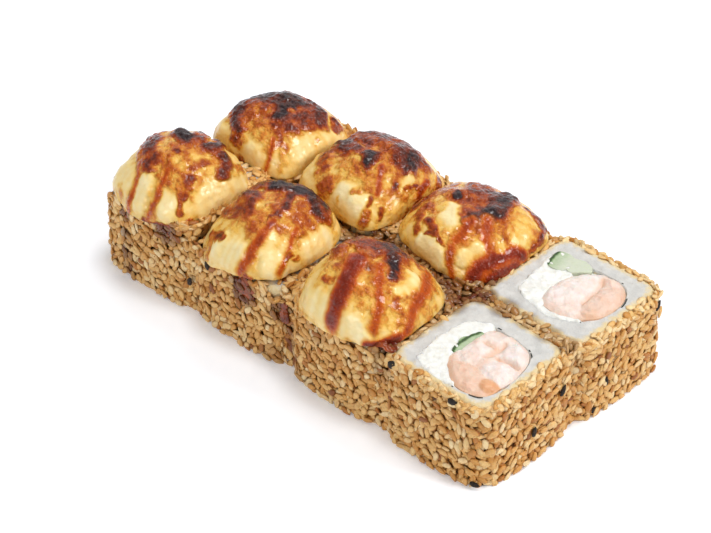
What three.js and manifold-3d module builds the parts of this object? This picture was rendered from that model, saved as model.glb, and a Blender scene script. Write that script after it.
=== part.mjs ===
// Eight slices of an inside-out shrimp roll, standing wall to wall in two rows of four.
// Six slices carry a torched cheese cap. The two at the +X end show rice and filling.
// Millimetres, +Z up, +X along the rows, the front row at -Y, the table at Z = 0.
import * as THREE from "three";
import { mergeVertices } from "three/addons/utils/BufferGeometryUtils.js";
import Module from "manifold-3d";

const wasm = await Module();
wasm.setup();

// Clearance kept between pieces that touch, and the length below which an edge closes up
const GAP = 0.3;
const WELD = 0.01;

// The slices: where each starts and ends along X and Y, and how high its rice stands
const SLICES = [
  { name: "slice_front_1", row: "front", place: 1, x: [-66.0, -33.6], y: [-32.8, -1.0], top: 25.5 },
  { name: "slice_front_2", row: "front", place: 2, x: [-32.6, -1.0], y: [-32.2, -1.0], top: 22.0 },
  { name: "slice_front_3", row: "front", place: 3, x: [2.0, 32.6], y: [-32.6, -1.0], top: 24.0 },
  { name: "slice_front_4", row: "front", place: 4, x: [33.6, 65.4], y: [-32.0, 0.4], top: 24.0 },
  { name: "slice_back_1", row: "back", place: 1, x: [-60.0, -30.8], y: [0.2, 28.8], top: 24.5 },
  { name: "slice_back_2", row: "back", place: 2, x: [-29.8, 1.0], y: [0.2, 30.2], top: 24.0 },
  { name: "slice_back_3", row: "back", place: 3, x: [2.0, 32.4], y: [0.2, 31.4], top: 24.0 },
  { name: "slice_back_4", row: "back", place: 4, x: [33.4, 66.4], y: [1.6, 34.2], top: 24.0 },
];
const SLICES_IN_ROW = 4;
const CORNER_RADIUS = 5.0;
const CORNER_STEPS_INSIDE = 2;
// Spacing of outline points where a plain outline is enough
const PLAIN_PITCH = 50;

// The sesame coat on the outer walls: bumps of a seed's size, with whole seeds fused on
const COAT = {
  pitch: 2.35,
  depth: 2.0,
  coreInset: 0.9,
  rim: 0.25,
  bump: 0.9,
  leastBump: 0.35,
  slide: 0.3,
  edgeBump: 0.35,
  footInset: 0.6,
  seedSpacing: 14.0,
  seedRowSpacing: 8.4,
  seedJitter: 0.5,
  seedLift: 0.5,
  seedEdge: 2.4,
  rimSpacing: 10.0,
  rimInset: 1.1,
  reach: 1.3,
  reachUnderCaps: 0.65,
};
const SEED = { length: 3.0, width: 1.75, thickness: 1.1, sides: 6 };

// Cooked rice that shows on the two open slices: grains that stand a little proud
const GRAIN = { length: 5.6, width: 2.3, thickness: 1.9, sides: 6, lift: -0.45, spacing: 9.0, inset: 3.3 };

// The caps: middle and half widths of the belly, its height, and the rise above it.
// The lean is how far the crown stands off the middle.
// A flap is the side, in degrees, on which the rim hangs lowest, and by how much.
// A blister is its place from the middle, its rise and its spread.
// A run of sauce is its start and end from the middle, and its width.
const CAPS = [
  {
    name: "cap_front_1",
    slice: "slice_front_1",
    at: [-49.7, -20.2], half: [15.5, 15.3], belly: 26.0, rise: 11.4, lean: [0.0, 0.8], flap: [265, 2.6],
    blisters: [[-5.5, 5.7, 1.2, 2.6], [6.9, 9.4, 1.0, 3.0], [-3.5, -4.6, 0.4, 3.5]],
    sauce: [[-5.2, -5.4, -2.9, -13.5, 3.0], [0.9, -6.2, 4.5, -13.2, 2.6], [5.9, 2.5, 11.6, -9.7, 3.6]],
  },
  {
    name: "cap_front_2",
    slice: "slice_front_2",
    at: [-18.8, -17.8], half: [14.9, 16.3], belly: 24.0, rise: 10.8, lean: [0.4, 1.6], flap: [240, 3.0],
    blisters: [[-8.9, -1.2, 0.8, 3.5], [3.8, 10.7, 0.8, 4.0], [-2.8, 6.8, 0.6, 3.5]],
    sauce: [[0.5, 6.3, 7.9, -13.5, 4.0], [8.5, 2.1, 12.4, -6.8, 2.8]],
  },
  {
    name: "cap_front_3",
    slice: "slice_front_3",
    at: [17.9, -19.2], half: [15.6, 15.8], belly: 25.0, rise: 12.0, lean: [-3.6, -1.2], flap: [255, 1.8],
    blisters: [[2.0, 4.6, 0.8, 3.2], [-8.9, 0.6, 0.5, 3.0], [9.7, -0.9, 0.7, 4.0]],
    sauce: [[-2.2, -3.0, 1.1, -14.0, 4.6], [5.2, 1.6, 11.2, -8.4, 2.6], [7.5, 9.6, 14.0, -3.2, 3.4]],
  },
  {
    name: "cap_back_1",
    slice: "slice_back_1",
    at: [-45.6, 12.3], half: [15.8, 15.5], belly: 25.2, rise: 9.9, lean: [0.0, 0.0], flap: [110, 1.0],
    blisters: [[8.4, 9.5, 0.8, 3.4], [-9.4, -1.7, 0.8, 3.5], [-2.3, 4.7, 0.8, 4.0]],
    sauce: [[-2.6, -6.6, -1.7, -13.4, 3.4], [4.6, -3.7, 9.4, -11.3, 2.6]],
  },
  {
    name: "cap_back_2",
    slice: "slice_back_2",
    at: [-14.6, 13.5], half: [16.5, 16.5], belly: 25.2, rise: 10.7, lean: [0.0, 0.0], flap: [80, 1.2],
    blisters: [[0.4, -3.0, 0.8, 2.6], [5.5, 5.7, 1.0, 3.4], [-9.3, 9.1, 0.6, 4.0]],
    sauce: [[-5.0, -4.2, -5.4, -12.7, 3.2], [3.0, -2.3, 11.8, -11.3, 3.0], [10.6, 8.8, 14.6, 0.0, 3.0]],
  },
  {
    name: "cap_back_3",
    slice: "slice_back_3",
    at: [17.6, 17.1], half: [17.3, 16.3], belly: 25.2, rise: 9.2, lean: [0.3, -2.2], flap: [320, 1.2],
    blisters: [[-6.4, 0.5, 1.0, 3.0], [5.8, 0.5, 0.9, 3.4], [7.8, 8.4, 0.8, 3.4], [0.5, -13.4, 0.8, 3.4]],
    sauce: [[-6.9, -7.4, -5.3, -14.0, 2.8], [5.4, -3.1, 12.9, -11.7, 3.6]],
  },
];
// Seen from above a cap is round at its crown and squarer, like its slice, at its belly
const CAP = {
  crownSquareness: 2.0,
  bellySquareness: 3.0,
  slope: 2.2,
  crownRound: 1.6,
  sag: 4.0,
  around: 20,
  upward: 8,
  lobes: 3,
  lobeDepth: 0.02,
  ripples: 7,
  rippleDepth: 0.012,
  squeeze: 0.7,
  flapWidth: 50,
  widestLevel: 0.995,
  skinRounds: 8,
  skinStep: 0.3,
};
// Where caps that stand side by side press on each other
const ROW_SPLIT = -2.4;
const COLUMN_SPLITS = { front: [-33.4, 0.4], back: [-30.4, 1.4] };

// Thick sauce lies on a cap, or down a wall, as a strip whose ends taper
const SAUCE = { height: 0.75, root: 1.2, steps: 4, taper: 0.65, taperPower: 4 };
// Runs of sauce down the outer walls: slice, X, upper end, lower end, width
const WALL_SAUCE = [
  ["slice_front_1", -54.6, 24.0, 3.0, 4.2],
  ["slice_front_2", -13.4, 19.0, 11.0, 6.0],
];
const WALL_SAUCE_HEIGHT = 1.2;

// Fillings of the two open slices: middle, half sizes, turn in degrees and squareness
const FILLINGS = [
  {
    row: "front", slice: "slice_front_4",
    whole: { at: [50.2, -17.2], half: [11.6, 10.8], turn: 0, power: 3.4 },
    shrimp: { at: [53.6, -16.9], half: [11.9, 9.2], turn: 134, power: 2.4, creases: [20, 205] },
    cucumber: { at: [44.6, -15.2], half: [2.6, 6.4], turn: 14, power: 2.2, creases: [] },
  },
  {
    row: "back", slice: "slice_back_4",
    whole: { at: [50.2, 17.8], half: [11.8, 10.6], turn: 0, power: 3.4 },
    shrimp: { at: [53.6, 18.6], half: [8.6, 10.2], turn: 20, power: 2.4, creases: [75, 262] },
    cucumber: { at: [43.6, 25.6], half: [5.6, 2.6], turn: -4, power: 2.8, creases: [] },
  },
];
const NORI_THICKNESS = 0.5;
const CREASE = { depth: 0.1, spread: 16 };
const FILLING_AROUND = 20;
// How far each filling stands above the rice, and how deep its top edge rounds over
const FILLING_TOP = { shrimp: 1.0, cheese: 0.5, cucumber: -0.1, nori: -0.4, round: 0.9 };
// The rounded edge, as shares of a filling's radius and of the rounding's depth
const FILLING_EDGE = [
  [1.0, 1.0],
  [0.86, 0.25],
  [0.5, 0.0],
];
// How far a cutting shape runs past what it cuts
const PAST = 1.0;

const MATERIALS = {
  sesame: new THREE.MeshStandardMaterial({ color: 0xd2a564, roughness: 0.55, metalness: 0 }),
  torchedCheese: new THREE.MeshStandardMaterial({ color: 0xd99a3c, roughness: 0.28, metalness: 0 }),
  creamCheese: new THREE.MeshStandardMaterial({ color: 0xf1f1ea, roughness: 0.5, metalness: 0 }),
  cucumber: new THREE.MeshStandardMaterial({ color: 0x9dbb74, roughness: 0.35, metalness: 0 }),
  shrimp: new THREE.MeshStandardMaterial({ color: 0xf1cbb4, roughness: 0.35, metalness: 0 }),
  nori: new THREE.MeshStandardMaterial({ color: 0x1d241c, roughness: 0.7, metalness: 0 }),
};

// Seeded random numbers between 0 and 1, the same on each run
function seededRandom(seed) {
  let state = seed >>> 0;
  return () => {
    state = (state + 0x6d2b79f5) >>> 0;
    let mixed = Math.imul(state ^ (state >>> 15), state | 1);
    mixed ^= mixed + Math.imul(mixed ^ (mixed >>> 7), mixed | 61);
    return ((mixed ^ (mixed >>> 14)) >>> 0) / 4294967296;
  };
}

// A geometry with position alone and its shared vertices merged
function weldedGeometry(geometry) {
  const bare = geometry.clone();
  bare.deleteAttribute("normal");
  bare.deleteAttribute("uv");
  return mergeVertices(bare, 1e-4);
}

function solidOf(geometry) {
  const welded = weldedGeometry(geometry);
  const vertProperties = new Float32Array(welded.attributes.position.array);
  const triVerts = new Uint32Array(welded.index.array);
  const mesh = new wasm.Mesh({ numProp: 3, vertProperties, triVerts, tolerance: WELD });
  return new wasm.Manifold(mesh);
}

// The largest body of a solid, without scraps that a cut leaves
function largestBody(solid) {
  const bodies = solid.decompose();
  bodies.sort((a, b) => b.volume() - a.volume());
  return bodies[0];
}

function meshOf(solid, name, material) {
  const { vertProperties, triVerts } = largestBody(solid).getMesh();
  const geometry = new THREE.BufferGeometry();
  geometry.setAttribute("position", new THREE.BufferAttribute(new Float32Array(vertProperties), 3));
  geometry.setIndex(new THREE.BufferAttribute(new Uint32Array(triVerts), 1));
  geometry.computeVertexNormals();
  const mesh = new THREE.Mesh(geometry, material);
  mesh.name = name;
  return mesh;
}

// Moves every vertex of a welded geometry by a function of its place and number
function reshaped(geometry, move) {
  const position = geometry.attributes.position;
  const point = new THREE.Vector3();
  for (let i = 0; i < position.count; i += 1) {
    point.fromBufferAttribute(position, i);
    move(point);
    position.setXYZ(i, point.x, point.y, point.z);
  }
  return geometry;
}

function sliceNamed(name) {
  return SLICES.find((slice) => slice.name === name);
}

// Which of a slice's four walls face outwards, in the order front, right, back, left
function outerWalls(slice) {
  return [
    slice.row === "front",
    slice.place === SLICES_IN_ROW,
    slice.row === "back",
    slice.place === 1,
  ];
}

// A slice's outline seen from above, counterclockwise from its left end of the front wall.
// Each point has its outward direction and how much of the coat's relief it takes.
function sliceOutline(slice, grow, pitch) {
  const radius = CORNER_RADIUS + grow;
  const left = slice.x[0] - grow;
  const right = slice.x[1] + grow;
  const front = slice.y[0] - grow;
  const back = slice.y[1] + grow;
  const outer = outerWalls(slice);
  const corners = [
    [right - radius, front + radius],
    [right - radius, back - radius],
    [left + radius, back - radius],
    [left + radius, front + radius],
  ];
  const points = [];
  corners.forEach(([cx, cy], wall) => {
    const nextWall = (wall + 1) % corners.length;
    const start = -Math.PI / 2 + (wall * Math.PI) / 2;
    const shown = outer[wall] || outer[nextWall];
    const arc = (radius * Math.PI) / 2;
    const arcSteps = shown ? Math.max(CORNER_STEPS_INSIDE, Math.round(arc / pitch)) : CORNER_STEPS_INSIDE;
    for (let step = 0; step <= arcSteps; step += 1) {
      const part = step / arcSteps;
      const angle = start + (part * Math.PI) / 2;
      const nx = Math.cos(angle);
      const ny = Math.sin(angle);
      const relief = (outer[wall] ? 1 - part : 0) + (outer[nextWall] ? part : 0);
      points.push({ x: cx + radius * nx, y: cy + radius * ny, nx, ny, relief });
    }
    const from = points[points.length - 1];
    const [ex, ey] = corners[nextWall];
    const endX = ex + radius * from.nx;
    const endY = ey + radius * from.ny;
    const length = Math.hypot(endX - from.x, endY - from.y);
    const wallSteps = outer[nextWall] ? Math.round(length / pitch) : 1;
    for (let step = 1; step < wallSteps; step += 1) {
      const part = step / wallSteps;
      const x = from.x + (endX - from.x) * part;
      const y = from.y + (endY - from.y) * part;
      points.push({ x, y, nx: from.nx, ny: from.ny, relief: 1 });
    }
  });
  return points;
}

function prism(points, height, steps = 1) {
  const shape = new THREE.Shape(points.map(({ x, y }) => new THREE.Vector2(x, y)));
  return new THREE.ExtrudeGeometry(shape, { depth: height, steps, bevelEnabled: false });
}

function nearestIndex(points, x, y) {
  let best = 0;
  points.forEach((point, i) => {
    const near = Math.hypot(point.x - x, point.y - y);
    const bestSoFar = Math.hypot(points[best].x - x, points[best].y - y);
    if (near < bestSoFar) best = i;
  });
  return best;
}

// The part of an outline that carries the coat, in order along the outer walls
function coatedRun(outline) {
  const count = outline.length;
  const start = outline.findIndex((point, i) => {
    return point.relief > 0 && outline[(i + count - 1) % count].relief === 0;
  });
  const ordered = outline.map((_, i) => outline[(start + i) % count]);
  const end = ordered.findIndex((point) => point.relief === 0);
  return ordered.slice(0, end);
}

// The slice without its coat: a plain block, set back where the coat lies over it
function riceBlock(slice) {
  const [front, right, back, left] = outerWalls(slice).map((outer) => (outer ? COAT.coreInset : 0));
  const core = {
    ...slice,
    x: [slice.x[0] + left, slice.x[1] - right],
    y: [slice.y[0] + front, slice.y[1] - back],
  };
  return solidOf(prism(sliceOutline(core, 0, PLAIN_PITCH), slice.top));
}

// The coat over the outer walls, raised in a lattice of seed-sized bumps
function coatSlab(slice, random) {
  const outside = coatedRun(sliceOutline(slice, 0, COAT.pitch));
  const inside = coatedRun(sliceOutline(slice, -COAT.depth, PLAIN_PITCH)).reverse();
  const height = slice.top + COAT.rim;
  const rows = Math.round(height / COAT.pitch);
  const slab = weldedGeometry(prism([...outside, ...inside], height, rows));
  return reshaped(slab, (point) => {
    const column = nearestIndex(outside, point.x, point.y);
    const { x, y, nx, ny, relief } = outside[column];
    if (Math.hypot(point.x - x, point.y - y) > COAT.depth / 2) return;
    const row = Math.round((point.z / height) * rows);
    const bump = COAT.bump * (COAT.leastBump + (1 - COAT.leastBump) * random());
    const aside = COAT.slide * (2 * random() - 1);
    let out = (column + row) % 2 === 0 ? bump * relief : 0;
    if (row === rows) out = COAT.edgeBump * relief;
    if (row === 0) out = -COAT.footInset * relief;
    const free = row > 0 && row < rows && relief === 1;
    point.x += nx * out - (free ? ny * aside : 0);
    point.y += ny * out + (free ? nx * aside : 0);
    if (free) point.z += aside;
  });
}

// A small flattened drop with its long axis along X, pointed at one end
function dropGeometry({ length, width, thickness, sides }) {
  const profile = [
    new THREE.Vector2(0, -length / 2),
    new THREE.Vector2(width / 2, -length / 6),
    new THREE.Vector2(width / 3, length / 4),
    new THREE.Vector2(0, length / 2),
  ];
  const drop = new THREE.LatheGeometry(profile, sides);
  drop.scale(1, 1, thickness / width);
  return drop.rotateZ(-Math.PI / 2);
}

// A drop laid flat against a surface: its place, the surface's outward direction and a turn
function laidDrop(size, place, outward, turn) {
  const drop = dropGeometry(size);
  drop.rotateZ(turn);
  const face = new THREE.Quaternion().setFromUnitVectors(new THREE.Vector3(0, 0, 1), outward);
  drop.applyQuaternion(face);
  drop.translate(place.x, place.y, place.z);
  return solidOf(drop);
}

// Points along a closed outline, evenly spaced by length
function spacedPoints(outline, spacing) {
  const found = [];
  let travelled = 0;
  outline.forEach((point, i) => {
    const next = outline[(i + 1) % outline.length];
    const length = Math.hypot(next.x - point.x, next.y - point.y);
    while (travelled < length) {
      const part = travelled / length;
      const between = { ...point };
      between.x += (next.x - point.x) * part;
      between.y += (next.y - point.y) * part;
      between.relief = Math.min(point.relief, next.relief);
      found.push(between);
      travelled += spacing;
    }
    travelled -= length;
  });
  return found;
}

// Whole seeds on the outer walls, in staggered rows
function wallSeeds(slice, random) {
  const outline = sliceOutline(slice, 0, COAT.pitch);
  const seeds = [];
  spacedPoints(outline, COAT.seedSpacing).forEach((spot, column) => {
    if (spot.relief < 1) return;
    const start = COAT.seedEdge + (column % 2) * (COAT.seedRowSpacing / 2);
    for (let z = start; z < slice.top - COAT.seedEdge; z += COAT.seedRowSpacing) {
      const outward = new THREE.Vector3(spot.nx, spot.ny, 0);
      const place = new THREE.Vector3(spot.x, spot.y, z + COAT.seedJitter * (2 * random() - 1));
      place.addScaledVector(outward, COAT.seedLift);
      seeds.push(laidDrop(SEED, place, outward, random() * Math.PI));
    }
  });
  return seeds;
}

// True where a cap covers a place on top of the slices, with some room to spare
function underCap(x, y, room) {
  return CAPS.some((cap) => {
    const across = (x - cap.at[0]) / (cap.half[0] + room);
    const along = (y - cap.at[1]) / (cap.half[1] + room);
    return across * across + along * along < 1;
  });
}

// Drops laid on a slice's top along its outline, where no cap covers them
function topDrops(slice, size, inset, spacing, lift, random) {
  const outward = new THREE.Vector3(0, 0, 1);
  return spacedPoints(sliceOutline(slice, -inset, COAT.pitch), spacing)
    .filter((spot) => !underCap(spot.x, spot.y, size.length))
    .map((spot) => {
      const along = Math.atan2(spot.nx, -spot.ny);
      const place = new THREE.Vector3(spot.x, spot.y, slice.top + lift);
      return laidDrop(size, place, outward, along + (random() - 0.5));
    });
}

// The turn from one direction to another in degrees, between -180 and 180
function turnBetween(from, to) {
  return ((((from - to + 180) % 360) + 360) % 360) - 180;
}

// Radius of a squared ellipse towards an angle, pinched where it has creases
function squaredRadius({ half, power, creases = [] }, angle) {
  const across = Math.abs(Math.cos(angle) / half[0]) ** power;
  const along = Math.abs(Math.sin(angle) / half[1]) ** power;
  let radius = (across + along) ** (-1 / power);
  creases.forEach((degrees) => {
    const away = turnBetween(THREE.MathUtils.radToDeg(angle), degrees) / CREASE.spread;
    radius *= 1 - CREASE.depth * Math.exp(-away * away);
  });
  return radius;
}

// An upright pillar with a squared outline and a rounded top edge, standing on the table
function pillar(form, height, grow = 0, foot = 0) {
  const edge = FILLING_EDGE.map(([out, down]) => new THREE.Vector2(out, height - FILLING_TOP.round * down));
  const profile = [
    new THREE.Vector2(0, foot),
    new THREE.Vector2(1, foot),
    ...edge,
    new THREE.Vector2(0, height),
  ];
  const lathe = new THREE.LatheGeometry(profile, FILLING_AROUND).rotateX(Math.PI / 2);
  const turn = THREE.MathUtils.degToRad(form.turn);
  const pillarGeometry = reshaped(weldedGeometry(lathe), (point) => {
    const angle = Math.atan2(point.y, point.x);
    const radius = Math.hypot(point.x, point.y) * (squaredRadius(form, angle) + grow);
    point.x = form.at[0] + radius * Math.cos(angle + turn);
    point.y = form.at[1] + radius * Math.sin(angle + turn);
  });
  return solidOf(pillarGeometry);
}

// A straight-topped pillar, for holes and rings
function plainPillar(form, height, grow, foot = 0) {
  const outline = [];
  for (let step = 0; step < FILLING_AROUND; step += 1) {
    const angle = (step / FILLING_AROUND) * 2 * Math.PI;
    const radius = squaredRadius(form, angle) + grow;
    outline.push({ x: form.at[0] + radius * Math.cos(angle), y: form.at[1] + radius * Math.sin(angle) });
  }
  return solidOf(prism(outline, height).translate(0, 0, foot));
}

function fillingHoleGrowth() {
  return GAP + NORI_THICKNESS + GAP;
}

// One slice: rice, coat, whole seeds, and a hole right through where a filling runs
function sliceSolid(slice, number) {
  const random = seededRandom(101 + number);
  const filling = FILLINGS.find((each) => each.slice === slice.name);
  const core = riceBlock(slice).add(solidOf(coatSlab(slice, random)));
  const drops = [
    ...wallSeeds(slice, random),
    ...topDrops(slice, SEED, COAT.rimInset, COAT.rimSpacing, 0, random),
  ];
  if (filling) drops.push(...topDrops(slice, GRAIN, GRAIN.inset, GRAIN.spacing, GRAIN.lift, random));
  WALL_SAUCE.filter(([name]) => name === slice.name).forEach((run) => drops.push(wallSauce(slice, run)));
  let solid = drops.reduce((whole, drop) => whole.add(drop), core);
  if (filling) {
    const above = slice.top + COAT.reach;
    solid = solid.subtract(plainPillar(filling.whole, above + PAST, fillingHoleGrowth(), -PAST));
  }
  return solid;
}

// Presses a coordinate softly against a limit on its upper side
function pressed(value, limit) {
  return limit - CAP.squeeze * Math.log1p(Math.exp((limit - value) / CAP.squeeze));
}

// Keeps a cap clear of the caps beside it and across the rows
function pressedByNeighbours(cap, slice, point) {
  const splits = COLUMN_SPLITS[slice.row];
  const leftSplit = splits[slice.place - 2];
  const rightSplit = splits[slice.place - 1];
  if (rightSplit !== undefined) point.x = pressed(point.x, rightSplit - GAP / 2);
  if (leftSplit !== undefined) point.x = -pressed(-point.x, -(leftSplit + GAP / 2));
  if (slice.row === "front") point.y = pressed(point.y, ROW_SPLIT - GAP / 2);
  else point.y = -pressed(-point.y, -(ROW_SPLIT + GAP / 2));
}

// How far in plan a place on a cap is from the crown, at 0, to the belly, at 1
function capLevel(cap, dx, dy) {
  let level = CAP.widestLevel;
  for (let round = 0; round < CAP.skinRounds; round += 1) {
    const leaning = 1 - level * level;
    const across = Math.abs((dx - cap.lean[0] * leaning) / cap.half[0]);
    const along = Math.abs((dy - cap.lean[1] * leaning) / cap.half[1]);
    const power = capSquareness(level);
    level = Math.min(CAP.widestLevel, (across ** power + along ** power) ** (1 / power));
  }
  return level;
}

function capSquareness(level) {
  return CAP.crownSquareness + (CAP.bellySquareness - CAP.crownSquareness) * level * level;
}

// A place on a cap's skin, above a place in plan given from the cap's middle
function capSkin(cap, dx, dy) {
  const level = capLevel(cap, dx, dy);
  const z = cap.belly + cap.rise * (1 - level ** CAP.slope) ** (1 / CAP.crownRound);
  return new THREE.Vector3(cap.at[0] + dx, cap.at[1] + dy, z);
}

function capOutward(cap, dx, dy) {
  const here = capSkin(cap, dx, dy);
  const alongX = capSkin(cap, dx + CAP.skinStep, dy).sub(here);
  const alongY = capSkin(cap, dx, dy + CAP.skinStep).sub(here);
  return alongX.cross(alongY).normalize();
}

// The soft lump of cheese: a squared egg with lobes round its rim and blisters on its crown
function capLump(cap, number) {
  const ball = new THREE.SphereGeometry(1, CAP.around, CAP.upward).rotateX(Math.PI / 2);
  const slice = sliceNamed(cap.slice);
  const lump = reshaped(weldedGeometry(ball), (point) => {
    const angle = Math.atan2(point.y, point.x);
    const level = Math.hypot(point.x, point.y) ** (2 / CAP.slope);
    const height = Math.sign(point.z) * Math.abs(point.z) ** (2 / CAP.crownRound);
    const lobes = CAP.lobeDepth * Math.sin(CAP.lobes * angle + number);
    const ripples = CAP.rippleDepth * Math.sin(CAP.ripples * angle + 2 * number);
    const square = squaredRadius({ half: [1, 1], power: capSquareness(level) }, angle);
    const wide = level * square * (1 + lobes + ripples);
    const leaning = 1 - level * level;
    const dx = cap.half[0] * wide * Math.cos(angle) + cap.lean[0] * leaning;
    const dy = cap.half[1] * wide * Math.sin(angle) + cap.lean[1] * leaning;
    const [flapSide, flapDrop] = cap.flap;
    const fromFlap = turnBetween(THREE.MathUtils.radToDeg(angle), flapSide) / CAP.flapWidth;
    point.z = cap.belly + height * (height > 0 ? cap.rise : CAP.sag);
    point.z -= flapDrop * Math.exp(-fromFlap * fromFlap) * level * level;
    cap.blisters.forEach(([bx, by, rise, spread]) => {
      const away = Math.hypot(dx - bx, dy - by) / spread;
      if (height > 0) point.z += rise * Math.exp(-away * away);
    });
    point.x = cap.at[0] + dx;
    point.y = cap.at[1] + dy;
    pressedByNeighbours(cap, slice, point);
  });
  return solidOf(lump);
}

// A strip of thick sauce whose middle line, outward and sideways directions a function gives
function sauceStrip(width, height, frameAt) {
  const edge = width / 2;
  const shoulder = edge / 2;
  const section = new THREE.Shape([
    new THREE.Vector2(-edge, 0),
    new THREE.Vector2(-shoulder, -SAUCE.root),
    new THREE.Vector2(shoulder, -SAUCE.root),
    new THREE.Vector2(edge, 0),
    new THREE.Vector2(shoulder, height),
    new THREE.Vector2(-shoulder, height),
  ]);
  const rod = new THREE.ExtrudeGeometry(section, { depth: 1, steps: SAUCE.steps, bevelEnabled: false });
  const strip = reshaped(weldedGeometry(rod), (point) => {
    const { middle, outward, sideways } = frameAt(point.z);
    const taper = 1 - SAUCE.taper * Math.abs(2 * point.z - 1) ** SAUCE.taperPower;
    const across = point.x * taper;
    const up = point.y;
    point.copy(middle).addScaledVector(outward, up).addScaledVector(sideways, across);
  });
  return solidOf(strip);
}

function capSauce(cap, [fromX, fromY, toX, toY, width]) {
  const heading = new THREE.Vector3(toX - fromX, toY - fromY, 0).normalize();
  return sauceStrip(width, SAUCE.height, (part) => {
    const dx = fromX + (toX - fromX) * part;
    const dy = fromY + (toY - fromY) * part;
    const outward = capOutward(cap, dx, dy);
    const sideways = new THREE.Vector3().crossVectors(outward, heading).normalize();
    return { middle: capSkin(cap, dx, dy), outward, sideways };
  });
}

// A run of sauce straight down a slice's front wall
function wallSauce(slice, [, x, upper, lower, width]) {
  const outward = new THREE.Vector3(0, -1, 0);
  const sideways = new THREE.Vector3(1, 0, 0);
  return sauceStrip(width, WALL_SAUCE_HEIGHT, (part) => {
    const z = upper + (lower - upper) * part;
    return { middle: new THREE.Vector3(x, slice.y[0], z), outward, sideways };
  });
}

// The room that each slice and its coat take, with the clearance a cap keeps to them
function slicesWithRoom(own) {
  return SLICES.map((slice) => {
    const bare = slice.name === own;
    const above = COAT.rim + GAP + (bare ? 0 : COAT.reachUnderCaps);
    const outline = sliceOutline(slice, COAT.reach + GAP, PLAIN_PITCH);
    return solidOf(prism(outline, slice.top + above));
  });
}

// One cap: the lump with its sauce, cut to sit on the slices below it
function capSolid(cap, number) {
  const sauced = cap.sauce.reduce((whole, strip) => whole.add(capSauce(cap, strip)), capLump(cap, number));
  return slicesWithRoom(cap.slice).reduce((whole, room) => whole.subtract(room), sauced);
}

// The filling of one open slice: nori round the outside, cheese, cucumber and shrimp
function fillingMeshes(filling) {
  const top = sliceNamed(filling.slice).top;
  const above = top + FILLING_TOP.shrimp + PAST;
  const { whole, shrimp, cucumber } = filling;
  const region = plainPillar(whole, above, 0);
  const noriTop = top + FILLING_TOP.nori - GAP;
  const nori = plainPillar(whole, noriTop, GAP + NORI_THICKNESS, GAP)
    .subtract(plainPillar(whole, above, GAP, -PAST));
  const shrimpBody = pillar(shrimp, top + FILLING_TOP.shrimp).intersect(region);
  const shrimpRoom = pillar(shrimp, above, GAP, -PAST);
  const cucumberForm = pillar(cucumber, top + FILLING_TOP.cucumber);
  const cucumberBody = cucumberForm.intersect(region).subtract(shrimpRoom);
  const cucumberRoom = pillar(cucumber, above, GAP, -PAST);
  const cheese = pillar(whole, top + FILLING_TOP.cheese).subtract(shrimpRoom).subtract(cucumberRoom);
  return [
    meshOf(nori, "nori_" + filling.row, MATERIALS.nori),
    meshOf(cheese, "cream_cheese_" + filling.row, MATERIALS.creamCheese),
    meshOf(cucumberBody, "cucumber_" + filling.row, MATERIALS.cucumber),
    meshOf(shrimpBody, "shrimp_" + filling.row, MATERIALS.shrimp),
  ];
}

const roll = new THREE.Group();
SLICES.forEach((slice, number) => {
  roll.add(meshOf(sliceSolid(slice, number), slice.name, MATERIALS.sesame));
});
CAPS.forEach((cap, number) => {
  roll.add(meshOf(capSolid(cap, number), cap.name, MATERIALS.torchedCheese));
});
FILLINGS.forEach((filling) => roll.add(...fillingMeshes(filling)));

// The origin is the middle of the block's footprint, on the table
const footprint = new THREE.Box3().setFromObject(roll).getCenter(new THREE.Vector3());
roll.position.set(-footprint.x, -footprint.y, 0);

export default roll;
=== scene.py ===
"""A sliced baked shrimp roll: eight slices coated with toasted sesame, standing in two rows.

Six slices lie under a cap of torched cheese sauce. The two at the +X end show rice and filling.
Sizes are in millimetres in the rows' own frame, with +X along the rows and the front row at -Y.
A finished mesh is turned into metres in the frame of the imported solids.
"""

import itertools
import logging
import math
from dataclasses import dataclass, field
from enum import Enum
from typing import Callable, NamedTuple, Sequence

import bmesh
import bpy
import numpy as np
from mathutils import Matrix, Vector, noise


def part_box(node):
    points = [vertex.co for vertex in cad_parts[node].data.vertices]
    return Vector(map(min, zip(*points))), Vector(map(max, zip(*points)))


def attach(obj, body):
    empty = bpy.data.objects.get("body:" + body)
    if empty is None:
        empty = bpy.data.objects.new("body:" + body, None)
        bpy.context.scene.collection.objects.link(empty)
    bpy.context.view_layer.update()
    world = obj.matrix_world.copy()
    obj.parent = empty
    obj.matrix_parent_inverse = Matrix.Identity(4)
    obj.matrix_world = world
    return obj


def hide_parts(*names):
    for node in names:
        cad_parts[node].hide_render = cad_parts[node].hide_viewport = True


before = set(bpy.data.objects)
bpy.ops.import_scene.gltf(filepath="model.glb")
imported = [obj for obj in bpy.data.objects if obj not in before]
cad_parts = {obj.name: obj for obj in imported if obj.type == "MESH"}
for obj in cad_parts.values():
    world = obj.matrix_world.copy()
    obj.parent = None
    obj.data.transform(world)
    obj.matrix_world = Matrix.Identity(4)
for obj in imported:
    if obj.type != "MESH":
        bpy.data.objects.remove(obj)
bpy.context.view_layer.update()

MM = 0.001
LOG = logging.getLogger("roll")

# Where the middle of the front filling's sheet of nori stands in the rows' own frame
NORI_FRONT_MIDDLE = (50.2, -17.2)

# Half a turn in degrees
HALF_TURN = 180.0

# The longest way from inside a slice to its outline, and how often it is halved to find the outline
FURTHEST = 60.0
HALVINGS = 30

# How high over the table the lowest seeds end
OFF_TABLE = 0.02

# The palest tone of a run of clear sauce
SAUCE_FROM = 0.42

Array = np.ndarray
Output = bpy.types.NodeSocket
Feed = float | str | tuple[float, ...] | Output
Edges = list[bmesh.types.BMEdge]


# Numbers and noise

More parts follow.
